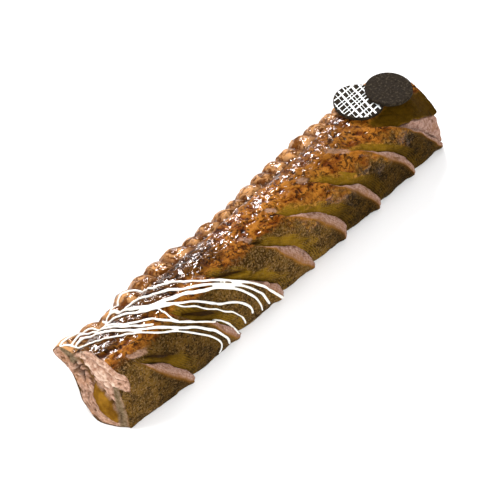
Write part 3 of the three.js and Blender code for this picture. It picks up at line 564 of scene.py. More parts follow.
def near_values(y, z, q, s):
    x, painted_crevice_shade, lobe_m, painted_sheen_band, cut_, skin_, hi = near_face(y, z, q)
    return {"cut": cut_, "painted_crevice_shade": painted_crevice_shade, "orange": lobe_m, "painted_sheen_band": painted_sheen_band * (1 - lobe_m), "lam": 9.0 + q / 10.0, "glaze": 0.35 * skin_, "tone_and_relief_shade": hi, "end": 1.0}


def far_place(y, z, q, s, ring):
    p = np.column_stack([q * 0 + 7, y, z])
    n1, n2 = fbm(p / 6.0, 61, 3), fbm(p / 2.2, 62, 3)
    tongue = smooth((z - 24.6 - 0.07 * y + 1.4 * n1) / 1.2)
    dome = 1.6 * (1 - (1 - np.clip(q / 7.0, 0, 1)) ** 2)
    inset = (1 - tongue) * 1.2 * smooth(q / 1.0)
    return FAR_X + dome - inset + smooth(q / 2.0) * (0.7 * n1 + (0.15 + 0.45 * (1 - tongue)) * n2)


def far_values(y, z, q, s):
    p = np.column_stack([q * 0 + 7, y, z])
    n1, n2 = fbm(p / 6.0, 61, 3), fbm(p / 2.2, 62, 3)
    tongue = smooth((z - 24.6 - 0.07 * y + 1.4 * n1) / 1.2)
    # painted shade line under the tongue's edge
    edge = np.exp(-((z - 24.6 - 0.07 * y + 1.4 * n1 - 0.2) / 0.8) ** 2)
    # the cap's front side continues the far tongue's olive and its painted plaque shadow
    side = 0.9 * tongue * (1 - smooth((y + 17 + 3.0 * n1) / 18))
    return {"cut": (1 - tongue) * smooth(q / 1.0), "painted_crevice_shade": 0.6 * edge, "lam": 9.5 + z / 10.0, "glaze": 0.35 * tongue * (1 - side), "gold": tongue, "ramp": side, "shade": side, "tone_and_relief_shade": 0.5 + 0.3 * n2, "end": 0.25}


near_ring, far_ring = P[0], P[-1]
sc = np.concatenate([np.linspace(0.985, 0.5, 27), np.linspace(0.47, 0.05, 16)])
t1 = cap(idx[0], near_ring, np.array([-3.0, 21.0]), sc, near_place, -1, near_values)
sc2 = np.concatenate([np.linspace(0.97, 0.5, 16), np.linspace(0.44, 0.08, 7)])
t2 = cap(idx[-1], far_ring, np.array([-3.0, 16.0]), sc2, far_place, 1, far_values)

V = np.concatenate(verts) + SHIFT
quads = np.concatenate(faces)
tris = np.concatenate([t1, t2])


def mesh_object(name, V, quads=None, tris=None, smooth_shade=True):
    me = bpy.data.meshes.new(name)
    nq = 0 if quads is None else len(quads)
    nt = 0 if tris is None else len(tris)
    me.vertices.add(len(V))
    me.vertices.foreach_set("co", (V * MM).astype(np.float32).ravel())
    loops = np.concatenate([quads.ravel() if nq else np.zeros(0, int), tris.ravel() if nt else np.zeros(0, int)])
    me.loops.add(len(loops))
    me.loops.foreach_set("vertex_index", loops.astype(np.int32))
    me.polygons.add(nq + nt)
    starts = np.concatenate([np.arange(nq) * 4, nq * 4 + np.arange(nt) * 3])
    totals = np.concatenate([np.full(nq, 4), np.full(nt, 3)])
    me.polygons.foreach_set("loop_start", starts.astype(np.int32))
    me.polygons.foreach_set("loop_total", totals.astype(np.int32))
    me.polygons.foreach_set("use_smooth", np.full(nq + nt, smooth_shade))
    me.update(calc_edges=True)
    me.validate()
    ob = bpy.data.objects.new(name, me)
    bpy.context.scene.collection.objects.link(ob)
    return ob


def set_attr(ob, name, data):
    at = ob.data.attributes.new(name, "FLOAT", "POINT")
    at.data.foreach_set("value", np.asarray(data, np.float32))


dough = mesh_object("baked_dough", V, quads, tris)
for key, parts in att.items():
    set_attr(dough, "m_" + key, np.concatenate(parts))


# ------------------------------------------------------------------ node helpers
class Tree:
    def __init__(self, name):
        self.mat = bpy.data.materials.new(name)
        self.mat.use_nodes = True
        self.t = self.mat.node_tree
        self.t.nodes.clear()
        self.out = self.t.nodes.new("ShaderNodeOutputMaterial")
        self.bsdf = self.t.nodes.new("ShaderNodeBsdfPrincipled")
        self.t.links.new(self.bsdf.outputs[0], self.out.inputs[0])

    def put(self, sock, v):
        if v is None:
            return
        if hasattr(v, "is_linked") or isinstance(v, bpy.types.NodeSocket):
            self.t.links.new(v, sock)
        elif isinstance(v, (tuple, list)) and len(v) == 3 and sock.type == "RGBA":
            sock.default_value = (*v, 1)
        else:
            sock.default_value = v

    def attr(self, name):
        n = self.t.nodes.new("ShaderNodeAttribute")
        n.attribute_name = name
        return n.outputs["Fac"]

    def pos(self):
        if not hasattr(self, "_pos"):
            n = self.t.nodes.new("ShaderNodeTexCoord")
            self._pos = n.outputs["Object"]
        return self._pos

    def scaled(self, sx, sy, sz):
        n = self.t.nodes.new("ShaderNodeMapping")
        n.inputs["Scale"].default_value = (sx, sy, sz)
        self.t.links.new(self.pos(), n.inputs["Vector"])
        return n.outputs[0]

    def noise(self, scale, detail=4, rough=0.55, vec=None, dist=0.0):
        n = self.t.nodes.new("ShaderNodeTexNoise")
        n.inputs["Scale"].default_value = scale
        n.inputs["Detail"].default_value = detail
        n.inputs["Roughness"].default_value = rough
        n.inputs["Distortion"].default_value = dist
        self.t.links.new(vec if vec is not None else self.pos(), n.inputs["Vector"])
        return n.outputs["Fac"]

    def voronoi(self, scale, vec=None, feature="F1"):
        n = self.t.nodes.new("ShaderNodeTexVoronoi")
        n.feature = feature
        n.inputs["Scale"].default_value = scale
        self.t.links.new(vec if vec is not None else self.pos(), n.inputs["Vector"])
        return n.outputs["Distance"]

    def math(self, op, a, b=0.0, c=None, clamp=False):
        n = self.t.nodes.new("ShaderNodeMath")
        n.operation = op
        n.use_clamp = clamp
        self.put(n.inputs[0], a)
        self.put(n.inputs[1], b)
        if c is not None:
            self.put(n.inputs[2], c)
        return n.outputs[0]

    def ramp(self, fac, lo, hi, a=0.0, b=1.0):
        n = self.t.nodes.new("ShaderNodeMapRange")
        n.interpolation_type = "SMOOTHSTEP"
        self.put(n.inputs[0], fac)
        n.inputs[1].default_value = lo
        n.inputs[2].default_value = hi
        n.inputs[3].default_value = a
        n.inputs[4].default_value = b
        return n.outputs[0]

    def mixc(self, fac, a, b, mode="MIX"):
        n = self.t.nodes.new("ShaderNodeMix")
        n.data_type = "RGBA"
        n.blend_type = mode
        self.put(n.inputs[0], fac)
        self.put(n.inputs[6], a)
        self.put(n.inputs[7], b)
        return n.outputs[2]

    def bump(self, height, strength, distance, normal=None):
        n = self.t.nodes.new("ShaderNodeBump")
        n.inputs["Strength"].default_value = strength
        n.inputs["Distance"].default_value = distance
        self.t.links.new(height, n.inputs["Height"])
        if normal is not None:
            self.t.links.new(normal, n.inputs["Normal"])
        return n.outputs[0]


def dough_material():
    T = Tree("baked_dough_glazed")
    cut, ramp, glaze, lam, painted_crevice_shade, under, crimp_valley_shade, orange, tone_and_relief_shade, painted_sheen_band, lip, hollow_shade_fac, patch, gold = (
        T.attr("m_" + k) for k in ("cut", "ramp", "glaze", "lam", "painted_crevice_shade", "under", "lobe", "orange", "tone_and_relief_shade", "painted_sheen_band", "lip", "hollow_shade", "patch", "gold"))
    n_big = T.noise(28, 3)            # 35 mm
    n_mid = T.noise(120, 4, 0.6)      # 8 mm
    n_fine = T.noise(560, 4, 0.62)    # 2 mm
    n_grit = T.noise(1600, 3, 0.6)
    mul = lambda a, b: T.math("MULTIPLY", a, b, clamp=True)
    # plain baked flank: olive brown, freckled
    flank_c = T.mixc(T.ramp(n_mid, 0.35, 0.68), (0.033, 0.0158, 0.0018), (0.130, 0.066, 0.0105))
    flank_c = T.mixc(mul(T.ramp(n_fine, 0.50, 0.64), 0.50), flank_c, (0.112, 0.073, 0.0240))
    flank_c = T.mixc(mul(T.ramp(T.noise(950, 3, 0.62), 0.52, 0.61), 0.60), flank_c, (0.245, 0.146, 0.0650))
    flank_c = T.mixc(mul(T.ramp(T.noise(720, 3, 0.6), 0.47, 0.38), 0.85), flank_c, (0.0100, 0.0046, 0.0006))
    gold_c = T.mixc(T.ramp(T.noise(420, 5, 0.68, dist=0.8), 0.38, 0.60), (0.070, 0.0260, 0.0028), (0.430, 0.195, 0.0290))
    speckle = T.math("MULTIPLY", T.math("SUBTRACT", n_fine, 0.5), 1.7)
    flank_c = T.mixc(mul(T.ramp(T.math("ADD", gold, speckle), 0.28, 0.72), 0.9), flank_c, gold_c)
    # glazed skin: red-brown in the hollows as painted shade, orange brown on the raised folds as painted light
    tone = T.math("ADD", T.math("MULTIPLY", tone_and_relief_shade, 0.62), T.math("MULTIPLY", n_mid, 0.45), clamp=True)
    glaze_c = T.mixc(T.ramp(tone, 0.30, 0.53), (0.0085, 0.0020, 0.0003), (0.125, 0.0290, 0.0016))
    glaze_c = T.mixc(T.ramp(tone, 0.50, 0.78), glaze_c, (0.355, 0.132, 0.0155))
    glaze_c = T.mixc(mul(T.ramp(T.noise(300, 5, 0.7, dist=1.2), 0.50, 0.42), 0.85), glaze_c, (0.0070, 0.0020, 0.0005))
    # painted light: the crimp tops lighter pinkish orange
    glaze_c = T.mixc(mul(T.attr("m_rim"), 0.75), glaze_c, T.mixc(T.ramp(T.noise(190, 5, 0.66, dist=0.9), 0.42, 0.58), (0.100, 0.030, 0.0022), (0.700, 0.370, 0.150)))
    col = T.mixc(T.ramp(glaze, 0.1, 0.8), flank_c, glaze_c)
    # laminated recess of a slit
    lines = T.t.nodes.new("ShaderNodeMath"); lines.operation = "SINE"
    T.put(lines.inputs[0], T.math("MULTIPLY_ADD", lam, 2 * math.pi / 0.015, T.math("MULTIPLY", n_mid, 9.0)))
    line01 = T.ramp(lines.outputs[0], -0.9, 1.0)
    olive = T.mixc(T.math("ADD", T.math("MULTIPLY", line01, 0.30), T.math("MULTIPLY", T.ramp(n_mid, 0.3, 0.7), 0.65), clamp=True), (0.090, 0.047, 0.0018), (0.225, 0.124, 0.0075))
    olive = T.mixc(mul(T.ramp(n_fine, 0.52, 0.68), 0.35), olive, (0.23, 0.15, 0.035))
    fray = T.math("ADD", T.math("MULTIPLY", T.math("SUBTRACT", line01, 0.5), 0.30), T.math("MULTIPLY", T.math("SUBTRACT", n_mid, 0.5), 0.9))
    col = T.mixc(mul(T.ramp(T.math("ADD", ramp, fray), 0.14, 0.86), 0.92), col, olive)
    # pale torn crumb
    crumb = T.mixc(T.ramp(n_fine, 0.34, 0.66), (0.38, 0.200, 0.130), (0.72, 0.470, 0.355))
    crumb = T.mixc(mul(T.ramp(T.noise(90, 3), 0.50, 0.68), 0.45), crumb, (0.42, 0.185, 0.060))
    crumb = T.mixc(mul(T.math("SUBTRACT", 1.0, line01), 0.30), crumb, (0.30, 0.15, 0.075))
    # painted shade on the crumb's low places, painted light on its raised places
    crumb = T.mixc(T.ramp(tone_and_relief_shade, 0.48, 0.16, 0.0, 0.85), crumb, (0.11, 0.046, 0.017))
    crumb = T.mixc(T.ramp(tone_and_relief_shade, 0.6, 0.95, 0.0, 0.8), crumb, (0.86, 0.66, 0.52))
    crumb = T.mixc(T.attr("m_end"), T.mixc(1.0, crumb, (0.66, 0.66, 0.72), "MULTIPLY"), crumb)
    col = T.mixc(cut, col, crumb)
    col = T.mixc(mul(patch, T.ramp(n_fine, 0.42, 0.60)), col, (0.36, 0.205, 0.125))
    col = T.mixc(mul(lip, 0.70), col, (0.27, 0.110, 0.017))
    col = T.mixc(orange, col, T.mixc(T.ramp(n_mid, 0.3, 0.7), (0.11, 0.046, 0.0030), (0.27, 0.130, 0.0125)))
    # painted sheen on the near end's corner band; the flange's end takes the same greyish colour
    col = T.mixc(mul(painted_sheen_band, 0.85), col, T.mixc(T.ramp(n_fine, 0.35, 0.65), (0.10, 0.074, 0.036), (0.20, 0.150, 0.080)))
    # stretches darker; on the far tongue and the far end's front side this is painted shadow of the plaques
    col = T.mixc(T.attr("m_shade"), col, T.mixc(1.0, col, (0.27, 0.25, 0.12), "MULTIPLY"))
    # darker underside; painted shade in the pinched valleys between the crimps, in the hollows and in the slit gaps and
    # crevices
    col = T.mixc(mul(under, 0.75), col, T.mixc(T.ramp(n_mid, 0.35, 0.65), (0.075, 0.036, 0.009), (0.17, 0.092, 0.028)))
    # painted shade in the pinched valleys between the crimps
    col = T.mixc(mul(crimp_valley_shade, 0.6), col, (0.060, 0.015, 0.0025))
    # painted shade in the hollows around the chocolate
    col = T.mixc(mul(hollow_shade_fac, 0.70), col, (0.040, 0.018, 0.0025))
    # painted shade in slit gaps and undercuts, the near end's slot, pits and crack, and under the far tongue's edge
    col = T.mixc(mul(painted_crevice_shade, 0.88), col, (0.020, 0.008, 0.0015))
    T.put(T.bsdf.inputs["Base Color"], col)
    shine = T.math("MULTIPLY", glaze, T.math("SUBTRACT", 1.0, cut, clamp=True), clamp=True)
    T.put(T.bsdf.inputs["Roughness"], T.math("SUBTRACT", 0.85, T.math("MULTIPLY", shine, 0.35), clamp=True))
    T.put(T.bsdf.inputs["Coat Weight"], T.math("MULTIPLY", shine, T.ramp(T.noise(170, 3), 0.45, 0.56, 0.04, 1.0), clamp=True))
    T.bsdf.inputs["Coat Roughness"].default_value = 0.07
    T.bsdf.inputs["Coat IOR"].default_value = 1.55
    T.bsdf.inputs["Specular IOR Level"].default_value = 0.04
    h = T.math("MULTIPLY_ADD", n_fine, 1.0, T.math("MULTIPLY", n_grit, 0.35))
    h = T.math("MULTIPLY_ADD", T.math("MULTIPLY", lines.outputs[0], T.math("MAXIMUM", ramp, T.math("MULTIPLY", cut, 0.6))), 0.10, h)
    T.put(T.bsdf.inputs["Normal"], T.bump(h, 0.8, 0.0010))
    wr = T.math("MULTIPLY_ADD", T.noise(270, 3, 0.52, dist=0.7), 1.0, T.math("MULTIPLY", T.noise(900, 2, 0.5), 0.09))
    T.put(T.bsdf.inputs["Coat Normal"], T.bump(wr, 0.8, 0.0011))
    return T.mat


def chocolate_material(name, base, fleck, rough, fleck_amount=0.6, coat=0.0):
    T = Tree(name)
    n1, n2, n3 = T.noise(650, 4, 0.65), T.noise(160, 3), T.noise(2600, 2, 0.5)
    col = T.mixc(T.ramp(n2, 0.3, 0.7), base, tuple(c * 1.25 for c in base))
    col = T.mixc(T.math("MULTIPLY", T.ramp(n1, 0.52, 0.66), fleck_amount), col, fleck)
    col = T.mixc(T.math("MULTIPLY", T.ramp(n1, 0.45, 0.34), fleck_amount), col, tuple(c * 0.30 for c in base))
    T.put(T.bsdf.inputs["Base Color"], col)
    T.put(T.bsdf.inputs["Roughness"], T.ramp(n2, 0.3, 0.7, rough - 0.06, rough + 0.08))
    T.bsdf.inputs["Specular IOR Level"].default_value = 0.05
    T.bsdf.inputs["Coat Weight"].default_value = coat
    T.bsdf.inputs["Coat Roughness"].default_value = 0.2
    T.put(T.bsdf.inputs["Normal"], T.bump(T.math("MULTIPLY_ADD", n1, 0.7, T.math("MULTIPLY", n3, 0.3)), 0.35, 0.00035))
    return T.mat


def white_material(name, tint):
    T = Tree(name)
    n1, n2 = T.noise(260, 3), T.noise(1400, 3)
    col = T.mixc(T.ramp(n1, 0.3, 0.7), tint, tuple(min(1, c * 1.04) for c in tint))
    col = T.mixc(T.math("MULTIPLY", T.ramp(n2, 0.6, 0.75), 0.25), col, tuple(c * 0.86 for c in tint))
    T.put(T.bsdf.inputs["Base Color"], col)
    T.put(T.bsdf.inputs["Roughness"], T.ramp(n1, 0.3, 0.7, 0.34, 0.48))
    T.bsdf.inputs["Subsurface Weight"].default_value = 0.12
    T.bsdf.inputs["Subsurface Radius"].default_value = (0.004, 0.003, 0.002)
    T.bsdf.inputs["Subsurface Scale"].default_value = 0.4
    T.put(T.bsdf.inputs["Normal"], T.bump(n2, 0.15, 0.0003))
    return T.mat


MAT_DOUGH = dough_material()
MAT_DARK = chocolate_material("dark_chocolate_cocoa", (0.0150, 0.0110, 0.0068), (0.058, 0.046, 0.030), 0.70, 0.8)
MAT_FILL = chocolate_material("baked_chocolate", (0.020, 0.0085, 0.0014), (0.042, 0.020, 0.003), 0.62, 0.5, 0.0)
MAT_WHITE = white_material("white_chocolate_set", (0.80, 0.785, 0.74))
MAT_LINES = white_material("white_cocoa_butter", (0.86, 0.90, 0.90))
dough.data.materials.append(MAT_DOUGH)
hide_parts("pastry")
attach(dough, "root")

# ------------------------------------------------------------------ drizzle, draped over the dough
bvh = BVHTree.FromPolygons([tuple(v) for v in V.tolist()], quads.tolist() + tris.tolist())
STRANDS = [
    (1.25, 1.25, [[-147.3, -1.14], [-142.6, -0.45], [-138.1, 0], [-133.4, 0.39], [-130.2, 0.68], [-126.8, 0.89], [-122.9, 1.18], [-118.2, 1.59], [-114.3, 1.94], [-110.3, 2.23], [-104.7, 2.52], [-98.2, 3.07], [-89.1, 3.82], [-82.6, 4.37], [-77.4, 4.95], [-75.5, 5.6], [-77.6, 6.2]]),
    (1.9, 2.1, [[-148.1, -2.19], [-141.9, -2.33], [-137, -1.95], [-135, -1.03], [-132.3, -0.28], [-129.1, 0.32], [-125.4, 0.68], [-121.1, 1.11], [-118, 1.36], [-112.1, 1.73], [-105.5, 2.23], [-99.6, 2.66], [-93.8, 3.07], [-87.2, 3.52], [-82.3, 3.93], [-77.8, 4.3], [-73.1, 4.85], [-69.8, 5.5], [-68.5, 6.1]]),
    (1.5, 1.5, [[-151, -3.25], [-148.3, -3.45], [-145, -3.4], [-141, -3.35], [-136, -3.45], [-133.2, -3.1], [-131.4, -2.4], [-129.2, -1.3], [-125.2, 0], [-120.4, 0.47], [-115.2, 0.82], [-110.7, 1.11], [-106.9, 1.45], [-103.7, 1.87], [-100.3, 2.23], [-95.3, 2.59], [-88.6, 3.07], [-77.5, 3.82], [-69.1, 4.4], [-63.3, 5], [-58.5, 6.1]]),
    (3.4, 1.6, [[-117.2, -3.3], [-114.2, -2.6], [-113.1, -1.35], [-110.5, -0.25], [-103.9, 0.47], [-97.2, 0.75], [-89.5, 1.11], [-82.4, 1.45], [-73.8, 1.94], [-66.3, 2.31], [-58.3, 2.87], [-51.2, 3.45], [-46.9, 3.99], [-42, 4.58], [-39.2, 5.2], [-38.5, 5.8]]),
    (1.5, 1.8, [[-117.2, -3.3], [-113, -3.5], [-108.5, -3.65], [-103.4, -3.65], [-98.9, -3.45], [-95.6, -2.99], [-93.9, -2.1], [-92.3, -0.9], [-87.2, -0.1], [-83, 0.22], [-78.1, 0.72], [-74.5, 1.03], [-71.1, 1.42], [-65.1, 1.87], [-57.4, 2.45], [-50.3, 3], [-42.6, 3.58], [-35.1, 4.22], [-30.6, 4.7], [-24.1, 5.5], [-20.5, 6.2]]),
    (1.3, 2, [[-112, 0.15], [-107, 0.42], [-101.2, 0.72], [-95.9, 1.03], [-93.5, 1.32], [-89.7, 1.6], [-85.3, 1.87], [-77.5, 2.52], [-71.6, 3], [-68.2, 3.26], [-60.6, 3.66], [-52.7, 4.27], [-47.1, 4.85], [-46, 5.35]]),
    (1.8, 2.2, [[-113.1, -1.5], [-110, -1.35], [-107, -1.22], [-102.7, -1], [-98.9, -0.6], [-95.2, 0.05], [-88.4, 0.42], [-81.3, 1.12], [-72.8, 1.59], [-66.4, 2.02], [-59, 2.59], [-50.7, 3.22], [-40, 4.22], [-34.9, 4.8], [-30.8, 5.8]]),
    (1.1, 1.3, [[-93.8, 1.32], [-89.9, 1.85], [-84, 2.31], [-81, 2.66], [-76.7, 3.05], [-71.2, 3.42], [-65.7, 3.93], [-60.6, 4.32], [-54.4, 4.97], [-52.6, 5.7]]),
    (1.2, 1.1, [[-109.6, 0.22], [-105.3, 0.54], [-102, 0.96], [-101.5, 1.5], [-100.9, 1.98], [-98.4, 2.31]]),
    (1.6, 1.5, [[-148.9, -2.48], [-142, -2.75], [-138.1, -2.87], [-133.6, -2.3], [-130.2, -0.9], [-125.6, 0.22], [-121.6, 0.66], [-118, 1.08], [-111.5, 1.5]]),
    (1.4, 1.4, [[-151, -3.25], [-149.8, -2.8], [-148.1, -2.19], [-147.3, -1.14]]),
    (2.2, 1.6, [[-124.3, -2.6], [-119.8, -1.1], [-115.2, -0.12], [-109.5, 0.45], [-102.3, 0.82], [-96.9, 1.15], [-90.2, 1.5]]),
    (1.2, 1.3, [[-128.6, -1.1], [-124.8, -1.9], [-121, -2.6], [-117.2, -3.3]]),
]


XM = np.maximum.accumulate(X + np.arange(NC)[:, None] * 1e-6, axis=0)
ROW_AT = np.append(TAU, 20.0)


def surf_at(x, tau):
    """point of the finished dough surface at (x, tau)"""
    jf = float(np.interp(tau % 20, ROW_AT, np.arange(N_ROWS + 1)))
    j0, w, out = int(jf), jf - int(jf), 0.0
    for j, wj in ((j0 % N_ROWS, 1 - w), ((j0 + 1) % N_ROWS, w)):
        cf = float(np.interp(x, XM[:, j], np.arange(NC)))
        c0 = min(int(cf), NC - 2)
        out = out + wj * mix(P[c0, j], P[c0 + 1, j], cf - c0)
    return out


def base_point(x, tau):
    y, z = section(x, tau)
    ny, nz = outward(x, tau)
    fl = smooth((tau % 20 - 4.4) / 1.6) * ((tau % 20) < 12)
    return np.stack([x, y, z], -1), np.stack([x * 0, ny * (1 - fl) - fl, nz * (1 - fl) + 0.25 * fl], -1)


def drape(stations, w0, w1, seed):
    st = np.array(stations, float)
    u = np.arange(len(st))
    seg = np.hypot(np.diff(st[:, 0]), np.diff(st[:, 1]) * 9.0)
    L = np.concatenate([[0], np.cumsum(seg)])
    n = int(L[-1] / 0.55)
    uu = np.interp(np.linspace(0, L[-1], n), L, u)
    i = np.minimum(len(st) - 2, np.floor(uu).astype(int))
    t = (uu - i)[:, None]
    at = lambda j: st[np.clip(j, 0, len(st) - 1)]
    c = spline(at(i - 1), at(i), at(i + 1), at(i + 2), t)
    jitter = vnoise(np.stack([uu * 0.9, uu * 0 + seed, uu * 0], -1), 70 + seed)
    x, tau = c[:, 0] + 0.5 * jitter, c[:, 1] % 20
    _, d = base_point(x, tau)
    p = np.array([surf_at(x[j], tau[j]) for j in range(n)])
    # the thread is stiff enough to bridge small hollows
    kern = np.exp(-(np.arange(-4, 5) / 2.2) ** 2)
    kern /= kern.sum()
    pad = np.pad(p, ((4, 4), (0, 0)), mode="edge")
    p = np.stack([np.convolve(pad[:, c_], kern, mode="valid") for c_ in range(3)], -1)
    hit = np.zeros(n)
    for j in range(n):
        o = p[j] + SHIFT + d[j] * 8.0
        r = bvh.ray_cast(Vector(o), Vector(-d[j]), 12.0)
        hit[j] = 8.0 - r[3] if r[0] is not None else 0.0
    hit = np.maximum(hit, 0.0)
    h = hit.copy()
    for _ in range(6):
        pp = np.pad(h, 1, mode="edge")
        h = np.maximum(hit, (pp[:-2] + 2 * h + pp[2:]) / 4)
    f = np.linspace(0, 1, n)
    width = mix(w0, w1, f) * (1 + 0.22 * vnoise(np.stack([uu * 1.7, uu * 0 + seed, uu * 0 + 5], -1), 90 + seed))
    width *= 0.88 * np.minimum(1, 0.35 + 0.65 * smooth(f / 0.03)) * np.minimum(1, 0.3 + 0.7 * smooth((1 - f) / 0.02))
    thick = 0.62 * (0.75 + 0.25 * width / 1.5)
    q = p + SHIFT + d * (h + 0.30)[:, None]
    return q, d, width, thick


def tube(q, d, width, thick, sides=10):
    n = len(q)
    tan = np.gradient(q, axis=0)
    tan /= np.linalg.norm(tan, axis=1, keepdims=True) + 1e-9
    side = np.cross(tan, d)
    side /= np.linalg.norm(side, axis=1, keepdims=True) + 1e-9
    up = np.cross(side, tan)
    a = np.arange(sides) * 2 * math.pi / sides
    ring = (q[:, None, :] + side[:, None, :] * (np.cos(a)[None, :, None] * width[:, None, None] / 2)
            + up[:, None, :] * (np.sin(a)[None, :, None] * thick[:, None, None]))
    v = ring.reshape(-1, 3)
    ids = np.arange(n * sides).reshape(n, sides)
    A, B = ids[:-1], ids[1:]
    An, Bn = np.roll(A, -1, 1), np.roll(B, -1, 1)
    qd = np.stack([A.ravel(), An.ravel(), Bn.ravel(), B.ravel()], -1)
    v = np.concatenate([v, q[:1] - tan[:1] * 0.25, q[-1:] + tan[-1:] * 0.3])
    m0, m1 = n * sides, n * sides + 1
    t0 = np.stack([np.roll(ids[0], -1), ids[0], np.full(sides, m0)], -1)
    t1 = np.stack([ids[-1], np.roll(ids[-1], -1), np.full(sides, m1)], -1)
    return v, qd, np.concatenate([t0, t1])


vs, qs, ts, off = [], [], [], 0
for s, (w0, w1, st) in enumerate(STRANDS):
    v, qd, tr = tube(*drape(st, w0, w1, s))
    vs.append(v); qs.append(qd + off); ts.append(tr + off)
    off += len(v)
drizzle = mesh_object("drizzle_threads", np.concatenate(vs), np.concatenate(qs), np.concatenate(ts))
mod = drizzle.modifiers.new("fuse", "REMESH")
mod.mode = "VOXEL"
mod.voxel_size = 0.00034
mod.use_smooth_shade = True
mod2 = drizzle.modifiers.new("soften", "SMOOTH")
mod2.factor = 0.5
mod2.iterations = 3
drizzle.data.materials.append(MAT_WHITE)
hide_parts("white_drizzle")
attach(drizzle, "root")


# ------------------------------------------------------------------ chocolate in the slits
def lens(name, node, line, half, thick, seed):
    x0, t0, x1, t1 = line[:4]
    n, m = 40, 14
    f = np.linspace(0, 1, n + 2)[1:-1]
    rows_top, rows_bot = [], []
    for fi in f:
        tau = t0 + (t1 - t0) * fi
        hw = half * math.sin(math.pi * fi) ** 0.8 * (1 + 0.18 * math.sin(9 * fi + seed))
        j = np.linspace(-1, 1, m)
        x = x0 + (x1 - x0) * fi + hw * j
        _, d = base_point(x, np.full(m, tau))
        p = np.array([surf_at(v_, tau) for v_ in x])
        up = thick * np.sqrt(np.maximum(0, 1 - j ** 2)) * math.sin(math.pi * fi) ** 0.5
        up = up * (1 + 0.3 * vnoise(np.stack([x / 2.2, x * 0 + fi * 9, x * 0 + seed], -1), 80))
        rows_top.append(p + SHIFT + d * (0.05 + up)[:, None])
        rows_bot.append(p + SHIFT - d * 0.3)
    top, bot = np.array(rows_top), np.array(rows_bot)
    v = np.concatenate([top.reshape(-1, 3), bot.reshape(-1, 3)])
    it = np.arange(n * m).reshape(n, m)
    ib = it + n * m
    qd = []
    for g, flip in ((it, False), (ib, True)):
        A, B, C, D = g[:-1, :-1], g[1:, :-1], g[1:, 1:], g[:-1, 1:]
        s = np.stack([A.ravel(), B.ravel(), C.ravel(), D.ravel()], -1)
        qd.append(s[:, ::-1] if flip else s)
    loop_t = np.concatenate([it[0, :], it[1:, -1], it[-1, -2::-1], it[-2:0:-1, 0]])
    loop_b = loop_t + n * m
    qd.append(np.stack([loop_t, np.roll(loop_t, -1), np.roll(loop_b, -1), loop_b], -1))
    qd = np.concatenate(qd)
    # faces point outwards
    c = v.mean(0)
    ob = mesh_object(name, v, qd)
    import bmesh
    bm = bmesh.new(); bm.from_mesh(ob.data)
    bmesh.ops.recalc_face_normals(bm, faces=bm.faces)
    bm.to_mesh(ob.data); bm.free()
    for p_ in ob.data.polygons:
        p_.use_smooth = True
    ob.data.materials.append(MAT_FILL)
    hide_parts(node)
    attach(ob, "root")
    return ob


lens("filling_in_slit_1", "chocolate_filling_1", HOLLOWS[0], 2.3, 0.55, 1)
lens("filling_in_slit_2", "chocolate_filling_2", HOLLOWS[1], 2.4, 0.55, 2)
lens("filling_in_slit_3", "chocolate_filling_3", HOLLOWS[2], 2.1, 0.5, 3)
lens("filling_in_slit_4", "chocolate_filling_4", HOLLOWS[3], 1.4, 0.4, 4)


# ------------------------------------------------------------------ plaques
def plaque(name, node, mat, seed):
    lo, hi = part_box(node)
    c = centre(node)
    r = (hi[0] - lo[0]) * 500.0
    t = (hi[2] - lo[2]) * 500.0
    e = 0.42
    prof = [(0, t)]
    nr = 46
    for j in range(1, nr + 1):
        prof.append(((r - e) * j / nr, t))
    for a_ in np.linspace(80, 0, 6):
        prof.append((r - e + e * math.cos(math.radians(a_)), t - e + e * math.sin(math.radians(a_))))
    for z in np.linspace(t - e, -t + e, 6)[1:]:
        prof.append((r, z))
    for a_ in np.linspace(-15, -90, 6):
        prof.append((r - e + e * math.cos(math.radians(a_)), -t + e + e * math.sin(math.radians(a_))))
    for j in range(nr // 2 - 1, 0, -1):
        prof.append(((r - e) * j / (nr // 2), -t))
    prof.append((0, -t))
    prof = np.array(prof)
    ns = 144
    ang = np.arange(ns) * 2 * math.pi / ns
    body = prof[1:-1]
    wob_r = 1 + 0.006 * vnoise(np.stack([np.cos(ang) * 2, np.sin(ang) * 2, ang * 0 + seed], -1), 60)
    x = body[:, 0][:, None] * np.cos(ang) * wob_r
    y = body[:, 0][:, None] * np.sin(ang) * wob_r
    z = np.broadcast_to(body[:, 1][:, None], x.shape).copy()
    p = np.stack([x, y, z], -1)
    top = z > 0
    z += np.where(top, 0.05 * fbm(p / 4.0 + seed, 63, 3) + 0.03 * fbm(p / 0.9, 64, 2), 0.03 * fbm(p / 2.0, 65, 2))
    v = np.stack([x, y, z], -1).reshape(-1, 3)
    m = len(body)
    ids = np.arange(m * ns).reshape(m, ns)
    A, B = ids[:-1], ids[1:]
    An, Bn = np.roll(A, -1, 1), np.roll(B, -1, 1)
    qd = np.stack([A.ravel(), B.ravel(), Bn.ravel(), An.ravel()], -1)
    v = np.concatenate([v, [[0, 0, t], [0, 0, -t]]]) + c
    tr = np.concatenate([np.stack([ids[0], np.roll(ids[0], -1), np.full(ns, m * ns)], -1),
                         np.stack([np.roll(ids[-1], -1), ids[-1], np.full(ns, m * ns + 1)], -1)])
    ob = mesh_object(name, v, qd, tr)
    ob.data.materials.append(mat)
    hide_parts(node)
    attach(ob, "root")
    return ob


lattice_disc = plaque("plaque_with_lattice", "lattice_chocolate_disc", MAT_DARK, 3)
plain_disc = plaque("plaque_plain", "plain_chocolate_disc", MAT_DARK, 8)

